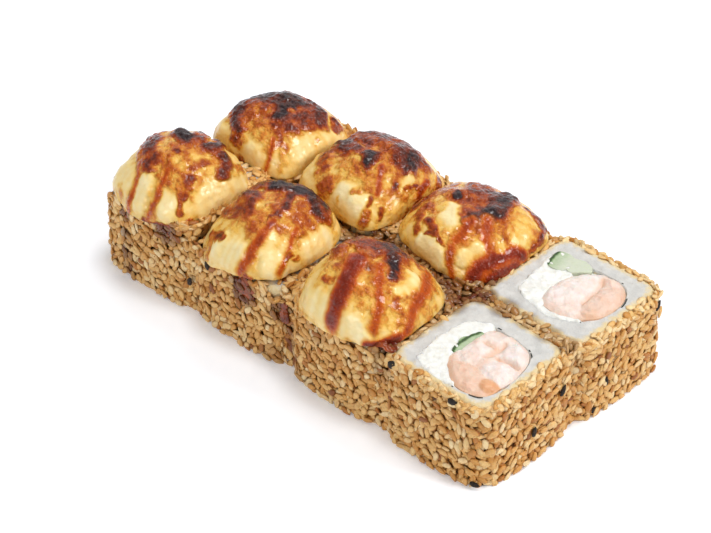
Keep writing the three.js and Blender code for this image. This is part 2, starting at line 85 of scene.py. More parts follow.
def row_shift() -> Array:
    """Works out where the rows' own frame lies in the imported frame.

    Returns:
        The shift from the rows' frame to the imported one, in millimetres.
    """
    low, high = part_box("nori_front")
    middle = (low + high) / 2 / MM
    return np.array([middle.x - NORI_FRONT_MIDDLE[0], middle.y - NORI_FRONT_MIDDLE[1], 0.0])


def smoothstep(low: float, high: float, value: Array) -> Array:
    """Eases values from 0 at low and below it to 1 at high and above it."""
    part = np.clip((value - low) / (high - low), 0.0, 1.0)
    return part * part * (3.0 - 2.0 * part)


def bell(distance: Array, spread: float) -> Array:
    """Gives a smooth hump that is 1 at no distance and has fallen to about a third at the spread."""
    return np.exp(-((distance / spread) ** 2))


def rough(points: Array, grain: float, seed: float = 0.0, octaves: int = 1) -> Array:
    """Gives smooth noise at points.

    Args:
        points: Places, one a row.
        grain: The noise's grain size in the same unit.
        seed: Moves to another part of the noise.
        octaves: How many finer layers are added.

    Returns:
        Noise between about -1 and 1, one value a point.
    """
    away = Vector((17.3 * seed, 5.1 * seed + 3.0, 9.7 * seed))
    total = np.zeros(len(points))
    weight = 1.0
    for octave in range(octaves):
        scale = 2.0**octave / grain
        total += weight * np.array([noise.noise(Vector(point) * scale + away) for point in points])
        weight *= 0.5
    return total


def distance_to_run(points: Array, run: Sequence[Sequence[float]]) -> Array:
    """Measures how far points in plan lie from a bent line.

    Args:
        points: Places in plan, one a row.
        run: The line's corners in plan.

    Returns:
        The distance of each point.
    """
    corners = np.array(run, dtype=float)
    nearest = np.full(len(points), np.inf)
    for start, step in zip(corners[:-1], np.diff(corners, axis=0)):
        part = np.clip(((points - start) @ step) / (step @ step), 0.0, 1.0)
        nearest = np.minimum(nearest, np.linalg.norm(points - start - part[:, None] * step, axis=1))
    return nearest


def relief(points: Array, *layers: tuple[float, float, float]) -> Array:
    """Adds up layers of noise at points, each with its height, grain size and seed."""
    return sum(height * rough(points, grain, seed) for height, grain, seed in layers)


def compass(angles: Array) -> Array:
    """Turns angles in radians into directions in plan, one a row."""
    return np.stack([np.cos(angles), np.sin(angles)], axis=1)


def angles_of(places: Array) -> Array:
    """Gives the direction in plan in which places lie from the origin, in radians."""
    return np.arctan2(places[:, 1], places[:, 0])


def turned_from(angles: Array, middle: float) -> Array:
    """Tells how many degrees lie between angles in radians and a direction in degrees."""
    return np.abs((np.degrees(angles) - middle + HALF_TURN) % (2 * HALF_TURN) - HALF_TURN)


# Meshes

def points_of(shape: bmesh.types.BMesh) -> Array:
    """Reads a shape's points, one a row."""
    return np.array([vertex.co[:] for vertex in shape.verts])


def move_points(shape: bmesh.types.BMesh, points: Array) -> None:
    """Puts a shape's points at new places, one a row."""
    for vertex, point in zip(shape.verts, points):
        vertex.co = point


def new_ball(around: int, upward: int) -> bmesh.types.BMesh:
    """Makes a ball of radius 1 with this many faces round it and from pole to pole."""
    shape = bmesh.new()
    bmesh.ops.create_uvsphere(shape, u_segments=around, v_segments=upward, radius=1.0)
    return shape


def new_ring(around: int, hole: float, cuts: int) -> tuple[bmesh.types.BMesh, Edges, Edges]:
    """Makes a flat ring of radius 1 from fine rings of faces.

    Args:
        around: How many faces it has round it.
        hole: The radius of its hole.
        cuts: How many loops lie between its two rims.

    Returns:
        The shape, and the edges of its inner and its outer rim.
    """
    shape = bmesh.new()
    for radius in (1.0, hole):
        bmesh.ops.create_circle(shape, segments=around, radius=radius, cap_ends=False)
    between = bmesh.ops.bridge_loops(shape, edges=shape.edges[:])["edges"]
    bmesh.ops.subdivide_edges(shape, edges=between, cuts=cuts, use_grid_fill=True)
    middle = (1.0 + hole) / 2
    rims = [edge for edge in shape.edges if edge.is_boundary]
    inner = [edge for edge in rims if edge.verts[0].co.length < middle]
    outer = [edge for edge in rims if edge.verts[0].co.length >= middle]
    return shape, inner, outer


def sink(shape: bmesh.types.BMesh, rim: Edges, steps: Sequence[float]) -> Edges:
    """Draws walls straight down from a rim.

    Args:
        shape: The shape that the rim belongs to.
        rim: The rim's edges.
        steps: How far down each row of faces reaches.

    Returns:
        The edges at the foot of the walls.
    """
    for step in steps:
        drawn = bmesh.ops.extrude_edge_only(shape, edges=rim)["geom"]
        rim = [item for item in drawn if isinstance(item, bmesh.types.BMEdge)]
        verts = [item for item in drawn if isinstance(item, bmesh.types.BMVert)]
        bmesh.ops.translate(shape, verts=verts, vec=(0.0, 0.0, -step))
    return rim


# Materials

def linear(colour: str) -> tuple[float, float, float, float]:
    """Turns a hex colour as seen on a screen into a linear one.

    Args:
        colour: The colour as "#RRGGBB".

    Returns:
        Linear red, green, blue and alpha.
    """
    shares = [int(colour[at:at + 2], 16) / 255 for at in (1, 3, 5)]
    light = [share / 12.92 if share <= 0.04045 else ((share + 0.055) / 1.055) ** 2.4 for share in shares]
    return (*light, 1.0)


def per_mm(size: float) -> float:
    """Gives a pattern's scale for a grain of this size in millimetres."""
    return 1.0 / (size * MM)


@dataclass
class NodeSheet:
    """One material's nodes. What feeds a node is a value, a hex colour or another node's output."""

    material: bpy.types.Material

    @classmethod
    def new(cls, name: str) -> "NodeSheet":
        """Starts an empty material with this name."""
        material = bpy.data.materials.new(name)
        material.use_nodes = True
        material.node_tree.nodes.clear()
        return cls(material)

    def add(self, kind: str, inputs: dict, **settings: object) -> bpy.types.Node:
        """Adds one node with its settings and what feeds it.

        Args:
            kind: Blender's name for the kind of node.
            inputs: What feeds each input, by name or number.
            settings: Properties of the node itself.

        Returns:
            The new node.
        """
        node = self.material.node_tree.nodes.new(kind)
        for setting, value in settings.items():
            setattr(node, setting, value)
        for where, feed in inputs.items():
            if isinstance(feed, bpy.types.NodeSocket):
                self.material.node_tree.links.new(feed, node.inputs[where])
            else:
                node.inputs[where].default_value = linear(feed) if isinstance(feed, str) else feed
        return node

    def ramp(self, source: Output, stops: Sequence[tuple[float, str]]) -> Output:
        """Turns a value into a colour through a row of stops.

        Args:
            source: The value between 0 and 1.
            stops: Places and hex colours in order.

        Returns:
            The colour.
        """
        node = self.add("ShaderNodeValToRGB", {"Fac": source})
        stack = node.color_ramp.elements
        while len(stack) < len(stops):
            stack.new(1.0)
        for element, (place, colour) in zip(stack, stops):
            element.position = place
            element.color = linear(colour)
        return node.outputs["Color"]

    def mix(self, share: Feed, first: Feed, second: Feed) -> Output:
        """Mixes two colours, of which the second one gets this share."""
        return self.add("ShaderNodeMix", {0: share, 6: first, 7: second}, data_type="RGBA").outputs[2]

    def mix_value(self, share: Feed, first: Feed, second: Feed) -> Output:
        """Mixes two values, of which the second one gets this share."""
        return self.add("ShaderNodeMix", {0: share, 2: first, 3: second}, data_type="FLOAT").outputs[0]

    def math(self, operation: str, first: Feed, second: Feed) -> Output:
        """Does the sum that has this name in Blender on two values."""
        return self.add("ShaderNodeMath", {0: first, 1: second}, operation=operation).outputs[0]

    def plus(self, first: Feed, second: Feed) -> Output:
        """Adds two values."""
        return self.math("ADD", first, second)

    def times(self, first: Feed, second: Feed) -> Output:
        """Multiplies two values."""
        return self.math("MULTIPLY", first, second)

    def mark(self, name: str) -> Output:
        """Reads one of the mesh's own values."""
        return self.add("ShaderNodeAttribute", {}, attribute_name=name).outputs["Fac"]

    def place(self) -> Output:
        """Gives the place on the object, in its own coordinates."""
        return self.add("ShaderNodeTexCoord", {}).outputs["Object"]

    def noise(self, size: float, detail: float = 2.0, roughness: float = 0.5) -> Output:
        """Gives a soft pattern, 0 to 1, from its grain in millimetres and its finer layers."""
        inputs = {"Vector": self.place(), "Scale": per_mm(size), "Detail": detail, "Roughness": roughness}
        return self.add("ShaderNodeTexNoise", inputs).outputs["Fac"]

    def cells(self, size: float) -> Output:
        """Gives a pattern of cells of this size in millimetres."""
        inputs = {"Vector": self.place(), "Scale": per_mm(size)}
        return self.add("ShaderNodeTexVoronoi", inputs, feature="F1").outputs["Distance"]

    def spread(self, value: Feed, low: float, high: float, start: float = 0.0, end: float = 1.0) -> Output:
        """Maps the range from low to high on the one from start to end, and holds it there."""
        inputs = {0: value, 1: low, 2: high, 3: start, 4: end}
        return self.add("ShaderNodeMapRange", inputs).outputs[0]

    def bump(self, height: Output, depth: float) -> Output:
        """Makes a fine relief from heights between 0 and 1, of which 1 is this many millimetres."""
        return self.add("ShaderNodeBump", {"Height": height, "Distance": depth * MM}).outputs["Normal"]

    def surface(self, inputs: dict) -> bpy.types.Material:
        """Ends the sheet with one surface.

        Args:
            inputs: What feeds the surface, by name.

        Returns:
            The finished material.
        """
        inputs = {"Subsurface Scale": 1.0, **inputs}
        body = self.add("ShaderNodeBsdfPrincipled", inputs, subsurface_method="RANDOM_WALK")
        self.add("ShaderNodeOutputMaterial", {"Surface": body.outputs[0]})
        return self.material


def flesh(depth: float, red: float = 1.0, green: float = 0.6, blue: float = 0.35) -> tuple[float, ...]:
    """Gives how deep each colour of light spreads inside, from a depth in millimetres."""
    return (depth * red * MM, depth * green * MM, depth * blue * MM)


@dataclass(frozen=True)
class CookedRice:
    """Cooked rice pressed into a block.

    The grains have melted into one grey-white mass that lets some light in, so the eye sees a
    soft, faintly wet surface with hardly a grain. It is stained cream along its cut edge. Its walls
    are deep brown behind the seeds and between the slices: partly the stain of toasted oil, partly
    painted shade where light hardly gets in.
    """

    body: str = "#CBCAC6"
    milky: str = "#DBD9D4"
    deep: str = "#BAB8B4"
    cream: str = "#E0CB9C"
    # Painted shade in the gaps between the seeds and between the slices, mixed with the brown stain of
    # toasted oil
    behind: str = "#6E4720"
    soaked: str = "#4A1A0C"
    grain: float = 2.2

    def material(self) -> bpy.types.Material:
        """Builds the material."""
        sheet = NodeSheet.new("cooked_rice")
        cloud = sheet.spread(sheet.noise(3.5, 3.0), 0.35, 0.65)
        grains = sheet.spread(sheet.cells(self.grain), 0.1, 0.7)
        colour = sheet.mix(cloud, self.body, self.milky)
        colour = sheet.mix(sheet.times(grains, 0.35), colour, self.deep)
        ragged = sheet.spread(sheet.noise(1.6), 0.3, 0.7, -0.3, 0.3)
        rim = sheet.spread(sheet.plus(sheet.mark("rim"), ragged), 0.3, 0.9)
        colour = sheet.mix(rim, colour, self.cream)
        # Paints the walls deep brown: painted shade behind the seeds and between slices, partly a real
        # toasted-oil stain
        colour = sheet.mix(sheet.mark("behind"), colour, self.behind)
        colour = sheet.mix(sheet.mark("soaked"), colour, self.soaked)
        relief = sheet.plus(sheet.times(grains, -0.6), sheet.noise(0.5, 2.0))
        return sheet.surface({
            "Base Color": colour,
            "Roughness": 0.42,
            "IOR": 1.38,
            "Subsurface Weight": 0.35,
            "Subsurface Radius": flesh(1.6, 1.0, 0.9, 0.8),
            "Normal": sheet.bump(relief, 0.22),
        })


@dataclass(frozen=True)
class ToastedSesame:
    """Hulled sesame seeds, toasted.

    Each seed has its own shade from cream to nutty brown, is browner round its thin edge, and has a
    faint satin sheen from its oil. Seeds that lie under sauce are soaked through, dark and wet.
    """

    tones: tuple[tuple[float, str], ...] = (
        (0.0, "#834714"), (0.14, "#B27028"), (0.42, "#D69C4E"), (0.72, "#E7BC76"), (1.0, "#F4D9A4"),
    )
    thin_edge: str = "#9E5C1E"
    soaked: str = "#5C220C"

    def material(self) -> bpy.types.Material:
        """Builds the material."""
        sheet = NodeSheet.new("toasted_sesame")
        colour = sheet.ramp(sheet.mark("shade"), self.tones)
        toast = sheet.spread(sheet.noise(0.8, 2.0), 0.35, 0.75, 0.0, 0.3)
        browned = sheet.math("MAXIMUM", toast, sheet.times(sheet.mark("edge"), 0.5))
        colour = sheet.mix(browned, colour, self.thin_edge)
        colour = sheet.mix(sheet.mark("soaked"), colour, self.soaked)
        return sheet.surface({
            "Base Color": colour,
            "Roughness": sheet.spread(sheet.mark("soaked"), 0.1, 0.7, 0.42, 0.16),
            "IOR": 1.45,
            "Subsurface Weight": 0.1,
            "Subsurface Radius": flesh(0.5),
            "Normal": sheet.bump(sheet.noise(0.45), 0.06),
        })


@dataclass(frozen=True)
class DarkSesame:
    """Sesame seeds that are black by nature, with a dull sheen."""

    body: str = "#1E1712"
    worn: str = "#4A3524"

    def material(self) -> bpy.types.Material:
        """Builds the material."""
        sheet = NodeSheet.new("dark_sesame")
        worn = sheet.spread(sheet.noise(0.7), 0.5, 0.8)
        return sheet.surface({
            "Base Color": sheet.mix(worn, self.body, self.worn),
            "Roughness": 0.6,
            "Specular IOR Level": 0.25,
            "Normal": sheet.bump(sheet.noise(0.4), 0.06),
        })


@dataclass(frozen=True)
class TorchedCheese:
    """Melted cheese sauce, torched, with thick sweet sauce run over it.

    The cheese is pale, smooth and moist where it hung low. It goes through gold, amber and rust
    to nearly black where the flame caught its crown, with a blotched edge and small bubbles.
    The sauce on it is clear: orange where it runs out thin, red-brown where it stands deep. Both
    are wet, so small lights glint on them.
    """

    tones: tuple[tuple[float, str], ...] = (
        (0.0, "#F5E3B0"), (0.12, "#F1D38C"), (0.25, "#E7B654"), (0.38, "#D4852A"), (0.5, "#B45614"),
        (0.62, "#953A0E"), (0.74, "#6C2610"), (0.87, "#4C2116"), (1.0, "#2A171A"),
    )
    clear: tuple[tuple[float, str], ...] = (
        (0.0, "#DF9530"), (0.35, "#C0540D"), (0.6, "#8F2904"), (0.85, "#5E1504"), (1.0, "#3E0B04"),
    )

    def material(self) -> bpy.types.Material:
        """Builds the material."""
        sheet = NodeSheet.new("torched_cheese")
        tone, sauce = sheet.mark("tone"), sheet.mark("sauce")
        blotch = sheet.spread(sheet.noise(3.0, 3.0, 0.5), 0.32, 0.68, -0.5, 0.5)
        fine = sheet.spread(sheet.noise(0.8, 2.0), 0.3, 0.7, -0.5, 0.5)
        uneven = sheet.plus(sheet.times(blotch, 0.34), sheet.times(fine, 0.08))
        strength = sheet.spread(tone, 0.12, 0.42, 0.18, 1.0)
        heat = sheet.plus(tone, sheet.times(uneven, strength))
        streaky = sheet.plus(sauce, sheet.times(blotch, 0.16))
        colour = sheet.mix(
            sheet.spread(sauce, 0.05, 0.4), sheet.ramp(heat, self.tones), sheet.ramp(streaky, self.clear),
        )
        bubbles = sheet.times(sheet.cells(1.1), sheet.spread(heat, 0.28, 0.5, 0.0, 0.7))
        bubbles = sheet.times(bubbles, sheet.spread(sauce, 0.2, 0.5, 1.0, 0.45))
        wrinkles = sheet.times(sheet.noise(1.6, 2.0), sheet.spread(heat, 0.2, 0.5, 0.5, 1.6))
        relief = sheet.plus(wrinkles, bubbles)
        wet = sheet.spread(heat, 0.15, 0.5, 0.32, 0.17)
        burnt = sheet.spread(heat, 0.7, 0.95, 0.0, 0.14)
        return sheet.surface({
            "Base Color": colour,
            "Roughness": sheet.mix_value(sheet.spread(sauce, 0.1, 0.4), sheet.plus(wet, burnt), 0.09),
            "IOR": 1.42,
            "Specular IOR Level": 0.3,
            "Subsurface Weight": 0.2,
            "Subsurface Radius": flesh(1.0),
            "Coat Weight": 0.35,
            "Coat Roughness": 0.05,
            "Normal": sheet.bump(relief, 0.6),
        })


@dataclass(frozen=True)
class BrownSauce:
    """Thick sweet sauce: clear red-brown, nearly black where it stands deep, and very glossy."""

    thin: str = "#9C4A24"
    deep: str = "#652714"

    def material(self) -> bpy.types.Material:
        """Builds the material."""
        sheet = NodeSheet.new("brown_sauce")
        cloud = sheet.spread(sheet.noise(2.4, 2.0), 0.35, 0.65)
        return sheet.surface({
            "Base Color": sheet.mix(cloud, self.deep, self.thin),
            "Roughness": 0.12,
            "IOR": 1.42,
            "Subsurface Weight": 0.1,
            "Subsurface Radius": flesh(1.0, 1.0, 0.25, 0.1),
            "Normal": sheet.bump(sheet.noise(1.6), 0.3),
        })


@dataclass(frozen=True)
class SoftWhiteCheese:
    """Soft white cheese, cut: matt and milky, torn into small ridges where the knife dragged."""

    body: str = "#EDEEEA"
    shade: str = "#E0DFD6"

    def material(self) -> bpy.types.Material:
        """Builds the material."""
        sheet = NodeSheet.new("soft_white_cheese")
        cloud = sheet.spread(sheet.noise(1.6, 3.0), 0.4, 0.7)
        relief = sheet.plus(sheet.noise(1.1, 3.0, 0.6), sheet.times(sheet.noise(0.4), 0.4))
        return sheet.surface({
            "Base Color": sheet.mix(cloud, self.body, self.shade),
            "Roughness": 0.5,
            "Subsurface Weight": 0.3,
            "Subsurface Radius": flesh(1.0, 1.0, 0.9, 0.75),
            "Normal": sheet.bump(relief, 0.16),
        })


@dataclass(frozen=True)
class CucumberStrip:
    """A strip of cucumber: wet, pale green and see-through inside, with a dark green skin."""

    flesh_colour: str = "#C9CFBA"
    near_skin: str = "#AEBE9C"
    rind: str = "#769660"
    skin: str = "#3F5632"

    def material(self) -> bpy.types.Material:
        """Builds the material."""
        sheet = NodeSheet.new("cucumber_strip")
        stops = ((0.05, self.flesh_colour), (0.5, self.near_skin), (0.8, self.rind), (0.95, self.skin))
        edge = sheet.plus(sheet.mark("skin"), sheet.spread(sheet.noise(0.8), 0.3, 0.7, -0.08, 0.08))
        return sheet.surface({
            "Base Color": sheet.ramp(edge, stops),
            "Roughness": 0.36,
            "IOR": 1.36,
            "Subsurface Weight": 0.25,
            "Subsurface Radius": flesh(1.2, 0.8, 1.0, 0.5),
            "Normal": sheet.bump(sheet.noise(0.7), 0.12),
        })


@dataclass(frozen=True)
class CookedShrimp:
    """Cooked shrimp, cut across.

    The flesh is firm, moist and almost white inside with a pink blush, and peach where its skin
    was. Fine fibres show as soft streaks.
    """

    inside: str = "#ECE4DF"
    blush: str = "#E9D3C8"
    outside: str = "#DFA97F"

    def material(self) -> bpy.types.Material:
        """Builds the material."""
        sheet = NodeSheet.new("cooked_shrimp")
        cloud = sheet.spread(sheet.noise(2.6, 3.0), 0.38, 0.68)
        colour = sheet.mix(cloud, self.inside, self.blush)
        colour = sheet.mix(sheet.mark("peach"), colour, self.outside)
        relief = sheet.plus(sheet.noise(1.4, 3.0), sheet.times(sheet.noise(0.5), 0.4))
        return sheet.surface({
            "Base Color": colour,
            "Roughness": 0.3,
            "IOR": 1.4,
            "Subsurface Weight": 0.35,
            "Subsurface Radius": flesh(1.6, 1.0, 0.55, 0.4),
            "Normal": sheet.bump(relief, 0.3),
        })


@dataclass(frozen=True)
class Nori:
    """Roasted seaweed, moist from the rice: nearly black with a green cast and a dull sheen."""

    body: str = "#171D17"
    thin: str = "#2E3B28"

    def material(self) -> bpy.types.Material:
        """Builds the material."""
        sheet = NodeSheet.new("nori_sheet")
        worn = sheet.spread(sheet.noise(0.9, 3.0), 0.45, 0.75)
        return sheet.surface({
            "Base Color": sheet.mix(worn, self.body, self.thin),
            "Roughness": 0.45,
            "Normal": sheet.bump(sheet.noise(0.5), 0.15),
        })


@dataclass(frozen=True)
class StudioFloor:
    """A seamless sheet of white card, which hardly shows its fibres and glows a little."""

    body: str = "#F5F8FD"
    fibres: str = "#F1F4FA"
    glow: str = "#FFFFFF"

    def material(self) -> bpy.types.Material:
        """Builds the material."""
        sheet = NodeSheet.new("studio_floor")
        share = sheet.spread(sheet.noise(2.0), 0.3, 0.7)
        return sheet.surface({
            "Base Color": sheet.mix(share, self.body, self.fibres),
            "Roughness": 0.8,
            "Specular IOR Level": 0.1,
            "Emission Color": self.glow,
            "Emission Strength": 0.18,
        })


@dataclass
class Larder:
    """Every finish, made once."""

    rice: bpy.types.Material
    sesame: bpy.types.Material
    dark_sesame: bpy.types.Material
    cheese: bpy.types.Material
    sauce: bpy.types.Material
    white_cheese: bpy.types.Material
    cucumber: bpy.types.Material
    shrimp: bpy.types.Material
    nori: bpy.types.Material
    floor: bpy.types.Material

    @classmethod
    def stocked(cls) -> "Larder":
        """Builds all the materials."""
        kinds = (
            CookedRice, ToastedSesame, DarkSesame, TorchedCheese, BrownSauce,
            SoftWhiteCheese, CucumberStrip, CookedShrimp, Nori, StudioFloor,
        )
        return cls(*(kind().material() for kind in kinds))


@dataclass
class Builder:
    """Turns shapes in millimetres into finished pieces of the object."""

    shift: Array
    larder: Larder
    made: list[str] = field(default_factory=list)

    def piece(
        self,
        name: str,
        form: bmesh.types.BMesh | bpy.types.Mesh,
        finish: bpy.types.Material,
        stands_for: Sequence[str] = (),
        marks: dict[str, Array] | None = None,
    ) -> None:
        """Makes one piece of the object.

        Args:
            name: The piece's name.
            form: Its shape, which is used up, or its mesh, in millimetres in the rows' frame.
            finish: Its material.
            stands_for: The solids that it is shown instead of.
            marks: Values a point for the material, each under a name.
        """
        mesh = form
        if isinstance(form, bmesh.types.BMesh):
            bmesh.ops.recalc_face_normals(form, faces=form.faces)
            mesh = bpy.data.meshes.new(name)
            form.to_mesh(mesh)
            form.free()
        count = len(mesh.vertices)
        places = np.empty(count * 3)
        mesh.vertices.foreach_get("co", places)
        places = (places.reshape(count, 3) + self.shift) * MM
        mesh.vertices.foreach_set("co", places.ravel())
        mesh.polygons.foreach_set("use_smooth", np.ones(len(mesh.polygons), dtype=bool))
        for mark, values in (marks or {}).items():
            mesh.attributes.new(mark, "FLOAT", "POINT").data.foreach_set("value", values)
        mesh.materials.append(finish)
        mesh.update()
        made = bpy.data.objects.new(name, mesh)
        bpy.context.scene.collection.objects.link(made)
        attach(made, "root")
        if stands_for:
            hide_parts(*stands_for)
        self.made.append(name)
        LOG.info("%s: %d faces", name, len(mesh.polygons))


# The slices

class Row(Enum):
    """The two rows of slices."""

    FRONT = "front"
    BACK = "back"


@dataclass(frozen=True)
class Outline:
    """A rectangle with rounded corners, seen from above."""

    x: tuple[float, float]
    y: tuple[float, float]
    corner: float = 5.0
    sharpest: float = 0.3

    @property
    def middle(self) -> Array:
        """Its middle in plan."""
        return np.array([sum(self.x) / 2, sum(self.y) / 2])

    @property
    def core(self) -> Array:
        """Half its length and width without the corners."""
        return np.array([self.x[1] - self.x[0], self.y[1] - self.y[0]]) / 2 - self.corner

    def grown(self, by: float) -> "Outline":
        """The outline with all its sides moved outwards."""
        x = (self.x[0] - by, self.x[1] + by)
        return Outline(x, (self.y[0] - by, self.y[1] + by), max(self.sharpest, self.corner + by))

    def walk(self, pitch: float) -> tuple[Array, Array, Array]:
        """Goes once round the outline, from the left end of the front side.

        Args:
            pitch: The length of a step.

        Returns:
            The places, their outward directions, and which side each lies on, from 0 to 4:
            front, right, back and left, with corners in between.
        """
        core = self.core
        arc = self.corner * math.pi / 2
        sides = [2 * core[0], 2 * core[1], 2 * core[0], 2 * core[1]]
        ends = np.array([[1, -1], [1, 1], [-1, 1], [-1, -1]]) * core
        starts = np.array([[-1, -1], [1, -1], [1, 1], [-1, 1]]) * core
        total = sum(sides) + 4 * arc
        places, ways, which = [], [], []
        for at in np.arange(0.0, total, total / round(total / pitch)):
            left = at
            for side in range(4):
                turn = (side - 1) * math.pi / 2
                if left < sides[side]:
                    way = np.array([math.cos(turn), math.sin(turn)])
                    foot = starts[side] + (ends[side] - starts[side]) * left / sides[side]
                    number = float(side)
                    break
                left -= sides[side]
                if left < arc:
                    angle = turn + left / self.corner
                    way = np.array([math.cos(angle), math.sin(angle)])
                    foot = ends[side]
                    number = side + left / arc
                    break
                left -= arc
            places.append(self.middle + foot + way * self.corner)
            ways.append(way)
            which.append(number)
        return np.array(places), np.array(ways), np.array(which)

    def depth_of(self, points: Array) -> Array:
        """Measures how far inside the outline points in plan lie.

        Args:
            points: Places in plan, one a row.

        Returns:
            The distance to the outline, below zero outside it.
        """
        away = np.abs(points - self.middle) - self.core
        outside = np.linalg.norm(np.maximum(away, 0.0), axis=1)
        inside = np.minimum(np.max(away, axis=1), 0.0)
        return self.corner - outside - inside

    def reach_from(self, start: Array, angles: Array) -> Array:
        """Measures from a place inside to the outline, by halving the way.

        Args:
            start: The place to measure from.
            angles: The directions in radians.

        Returns:
            The distance in each direction.
        """
        ways = compass(angles)
        low, high = np.zeros(len(angles)), np.full(len(angles), FURTHEST)
        for _ in range(HALVINGS):
            guess = (low + high) / 2
            inside = self.depth_of(start + guess[:, None] * ways) > 0
            low = np.where(inside, guess, low)
            high = np.where(inside, high, guess)
        return low


@dataclass(frozen=True)
class Traced:
    """A closed outline in plan, drawn through points round its middle and softened."""

    rim: tuple[tuple[float, float], ...]
    steps: int = 360
    softening: int = 6

    @property
    def middle(self) -> Array:
        """The middle of its points."""
        rim = np.array(self.rim)
        return (rim.min(axis=0) + rim.max(axis=0)) / 2

    def radius(self, angles: Array) -> Array:
        """Measures from the middle to the outline.

        Args:
            angles: The directions in radians.

        Returns:
            The distance in each direction.
        """
        ways = np.array(self.rim) - self.middle
        at = angles_of(ways)
        order = np.argsort(at)
        at, reach = at[order], np.linalg.norm(ways, axis=1)[order]
        steps = np.linspace(-math.pi, math.pi, self.steps + 1)[:-1]
        plain = np.interp(steps, at, reach, period=2 * math.pi)
        turns = range(-self.softening, self.softening + 1)
        softened = sum(np.roll(plain, turn) for turn in turns) / len(turns)
        return np.interp(angles, steps, softened, period=2 * math.pi)

    def share_out(self, plan: Array) -> Array:
        """Tells how far out places in plan lie, from 0 at the middle to 1 on the outline."""
        ways = plan - self.middle
        return np.linalg.norm(ways, axis=1) / self.radius(angles_of(ways))


# The axis and the direction of a slice's front, right, back and left walls
WALL_WAYS = ((1, -1), (0, 1), (1, 1), (0, -1))


@dataclass(frozen=True)
class Slice:
    """One slice: its row, its place in it, its sides, its height and how far its foot bulges."""

    row: Row
    place: int
    x: tuple[float, float]
    y: tuple[float, float]
    top: float
    sag: float = 1.0

    @property
    def name(self) -> str:
        """The slice's own part of its pieces' names."""
        return f"{self.row.value}_{self.place}"

    @property
    def is_open(self) -> bool:
        """Whether it shows its filling, as the last slice of a row does, and has no cap."""
        return self.place == 4

    @property
    def outline(self) -> Outline:
        """The outline over the coat, without the seeds that stand out of it."""
        return Outline(self.x, self.y)

    @property
    def outer_walls(self) -> tuple[bool, bool, bool, bool]:
        """Which of the front, right, back and left walls face outwards."""
        return (self.row is Row.FRONT, self.is_open, self.row is Row.BACK, self.place == 1)

    def outer_share(self, which: Array) -> Array:
        """Tells how far places on the outline face outwards.

        Args:
            which: The side of each place, as Outline.walk gives it.

        Returns:
            1 on outer walls, 0 on inner ones, in between round a corner.
        """
        outer = np.array([float(wall) for wall in self.outer_walls])
        side = np.floor(which).astype(int) % 4
        part = which - np.floor(which)
        return outer[side] * (1 - part) + outer[(side + 1) % 4] * part

    def sagged(self, points: Array) -> Array:
        """Lets the foot of the outer walls bulge, as soft rice does.

        Args:
            points: Places on the slice, one a row.

        Returns:
            The changed places.
        """
        middle = self.outline.middle
        part = (points[:, :2] - middle) / (np.array([self.x[1], self.y[1]]) - middle)
        sunk = np.clip(1 - points[:, 2] / self.top, 0.0, 1.0) ** 0.8
        moved = points.copy()
        for (axis, sign), outer in zip(WALL_WAYS, self.outer_walls):
            if outer:
                near = smoothstep(0.5, 0.95, sign * part[:, axis])
                along = np.clip(1 - part[:, 1 - axis] ** 2, 0.0, 1.0)
                moved[:, axis] += sign * self.sag * near * along * sunk
        return moved


SLICES = (
    Slice(Row.FRONT, 1, (-66.0, -33.6), (-32.8, -1.0), 25.5),
    Slice(Row.FRONT, 2, (-32.6, -1.0), (-32.2, -1.0), 22.0),
    Slice(Row.FRONT, 3, (2.0, 32.6), (-32.6, -1.0), 24.0),
    Slice(Row.FRONT, 4, (33.6, 65.4), (-32.0, 0.4), 24.0, 1.8),
    Slice(Row.BACK, 1, (-60.0, -30.8), (0.2, 28.8), 24.5),
    Slice(Row.BACK, 2, (-29.8, 1.0), (0.2, 30.2), 24.0),
    Slice(Row.BACK, 3, (2.0, 32.4), (0.2, 31.4), 24.0),
    Slice(Row.BACK, 4, (33.4, 66.4), (1.6, 34.2), 24.0),
)


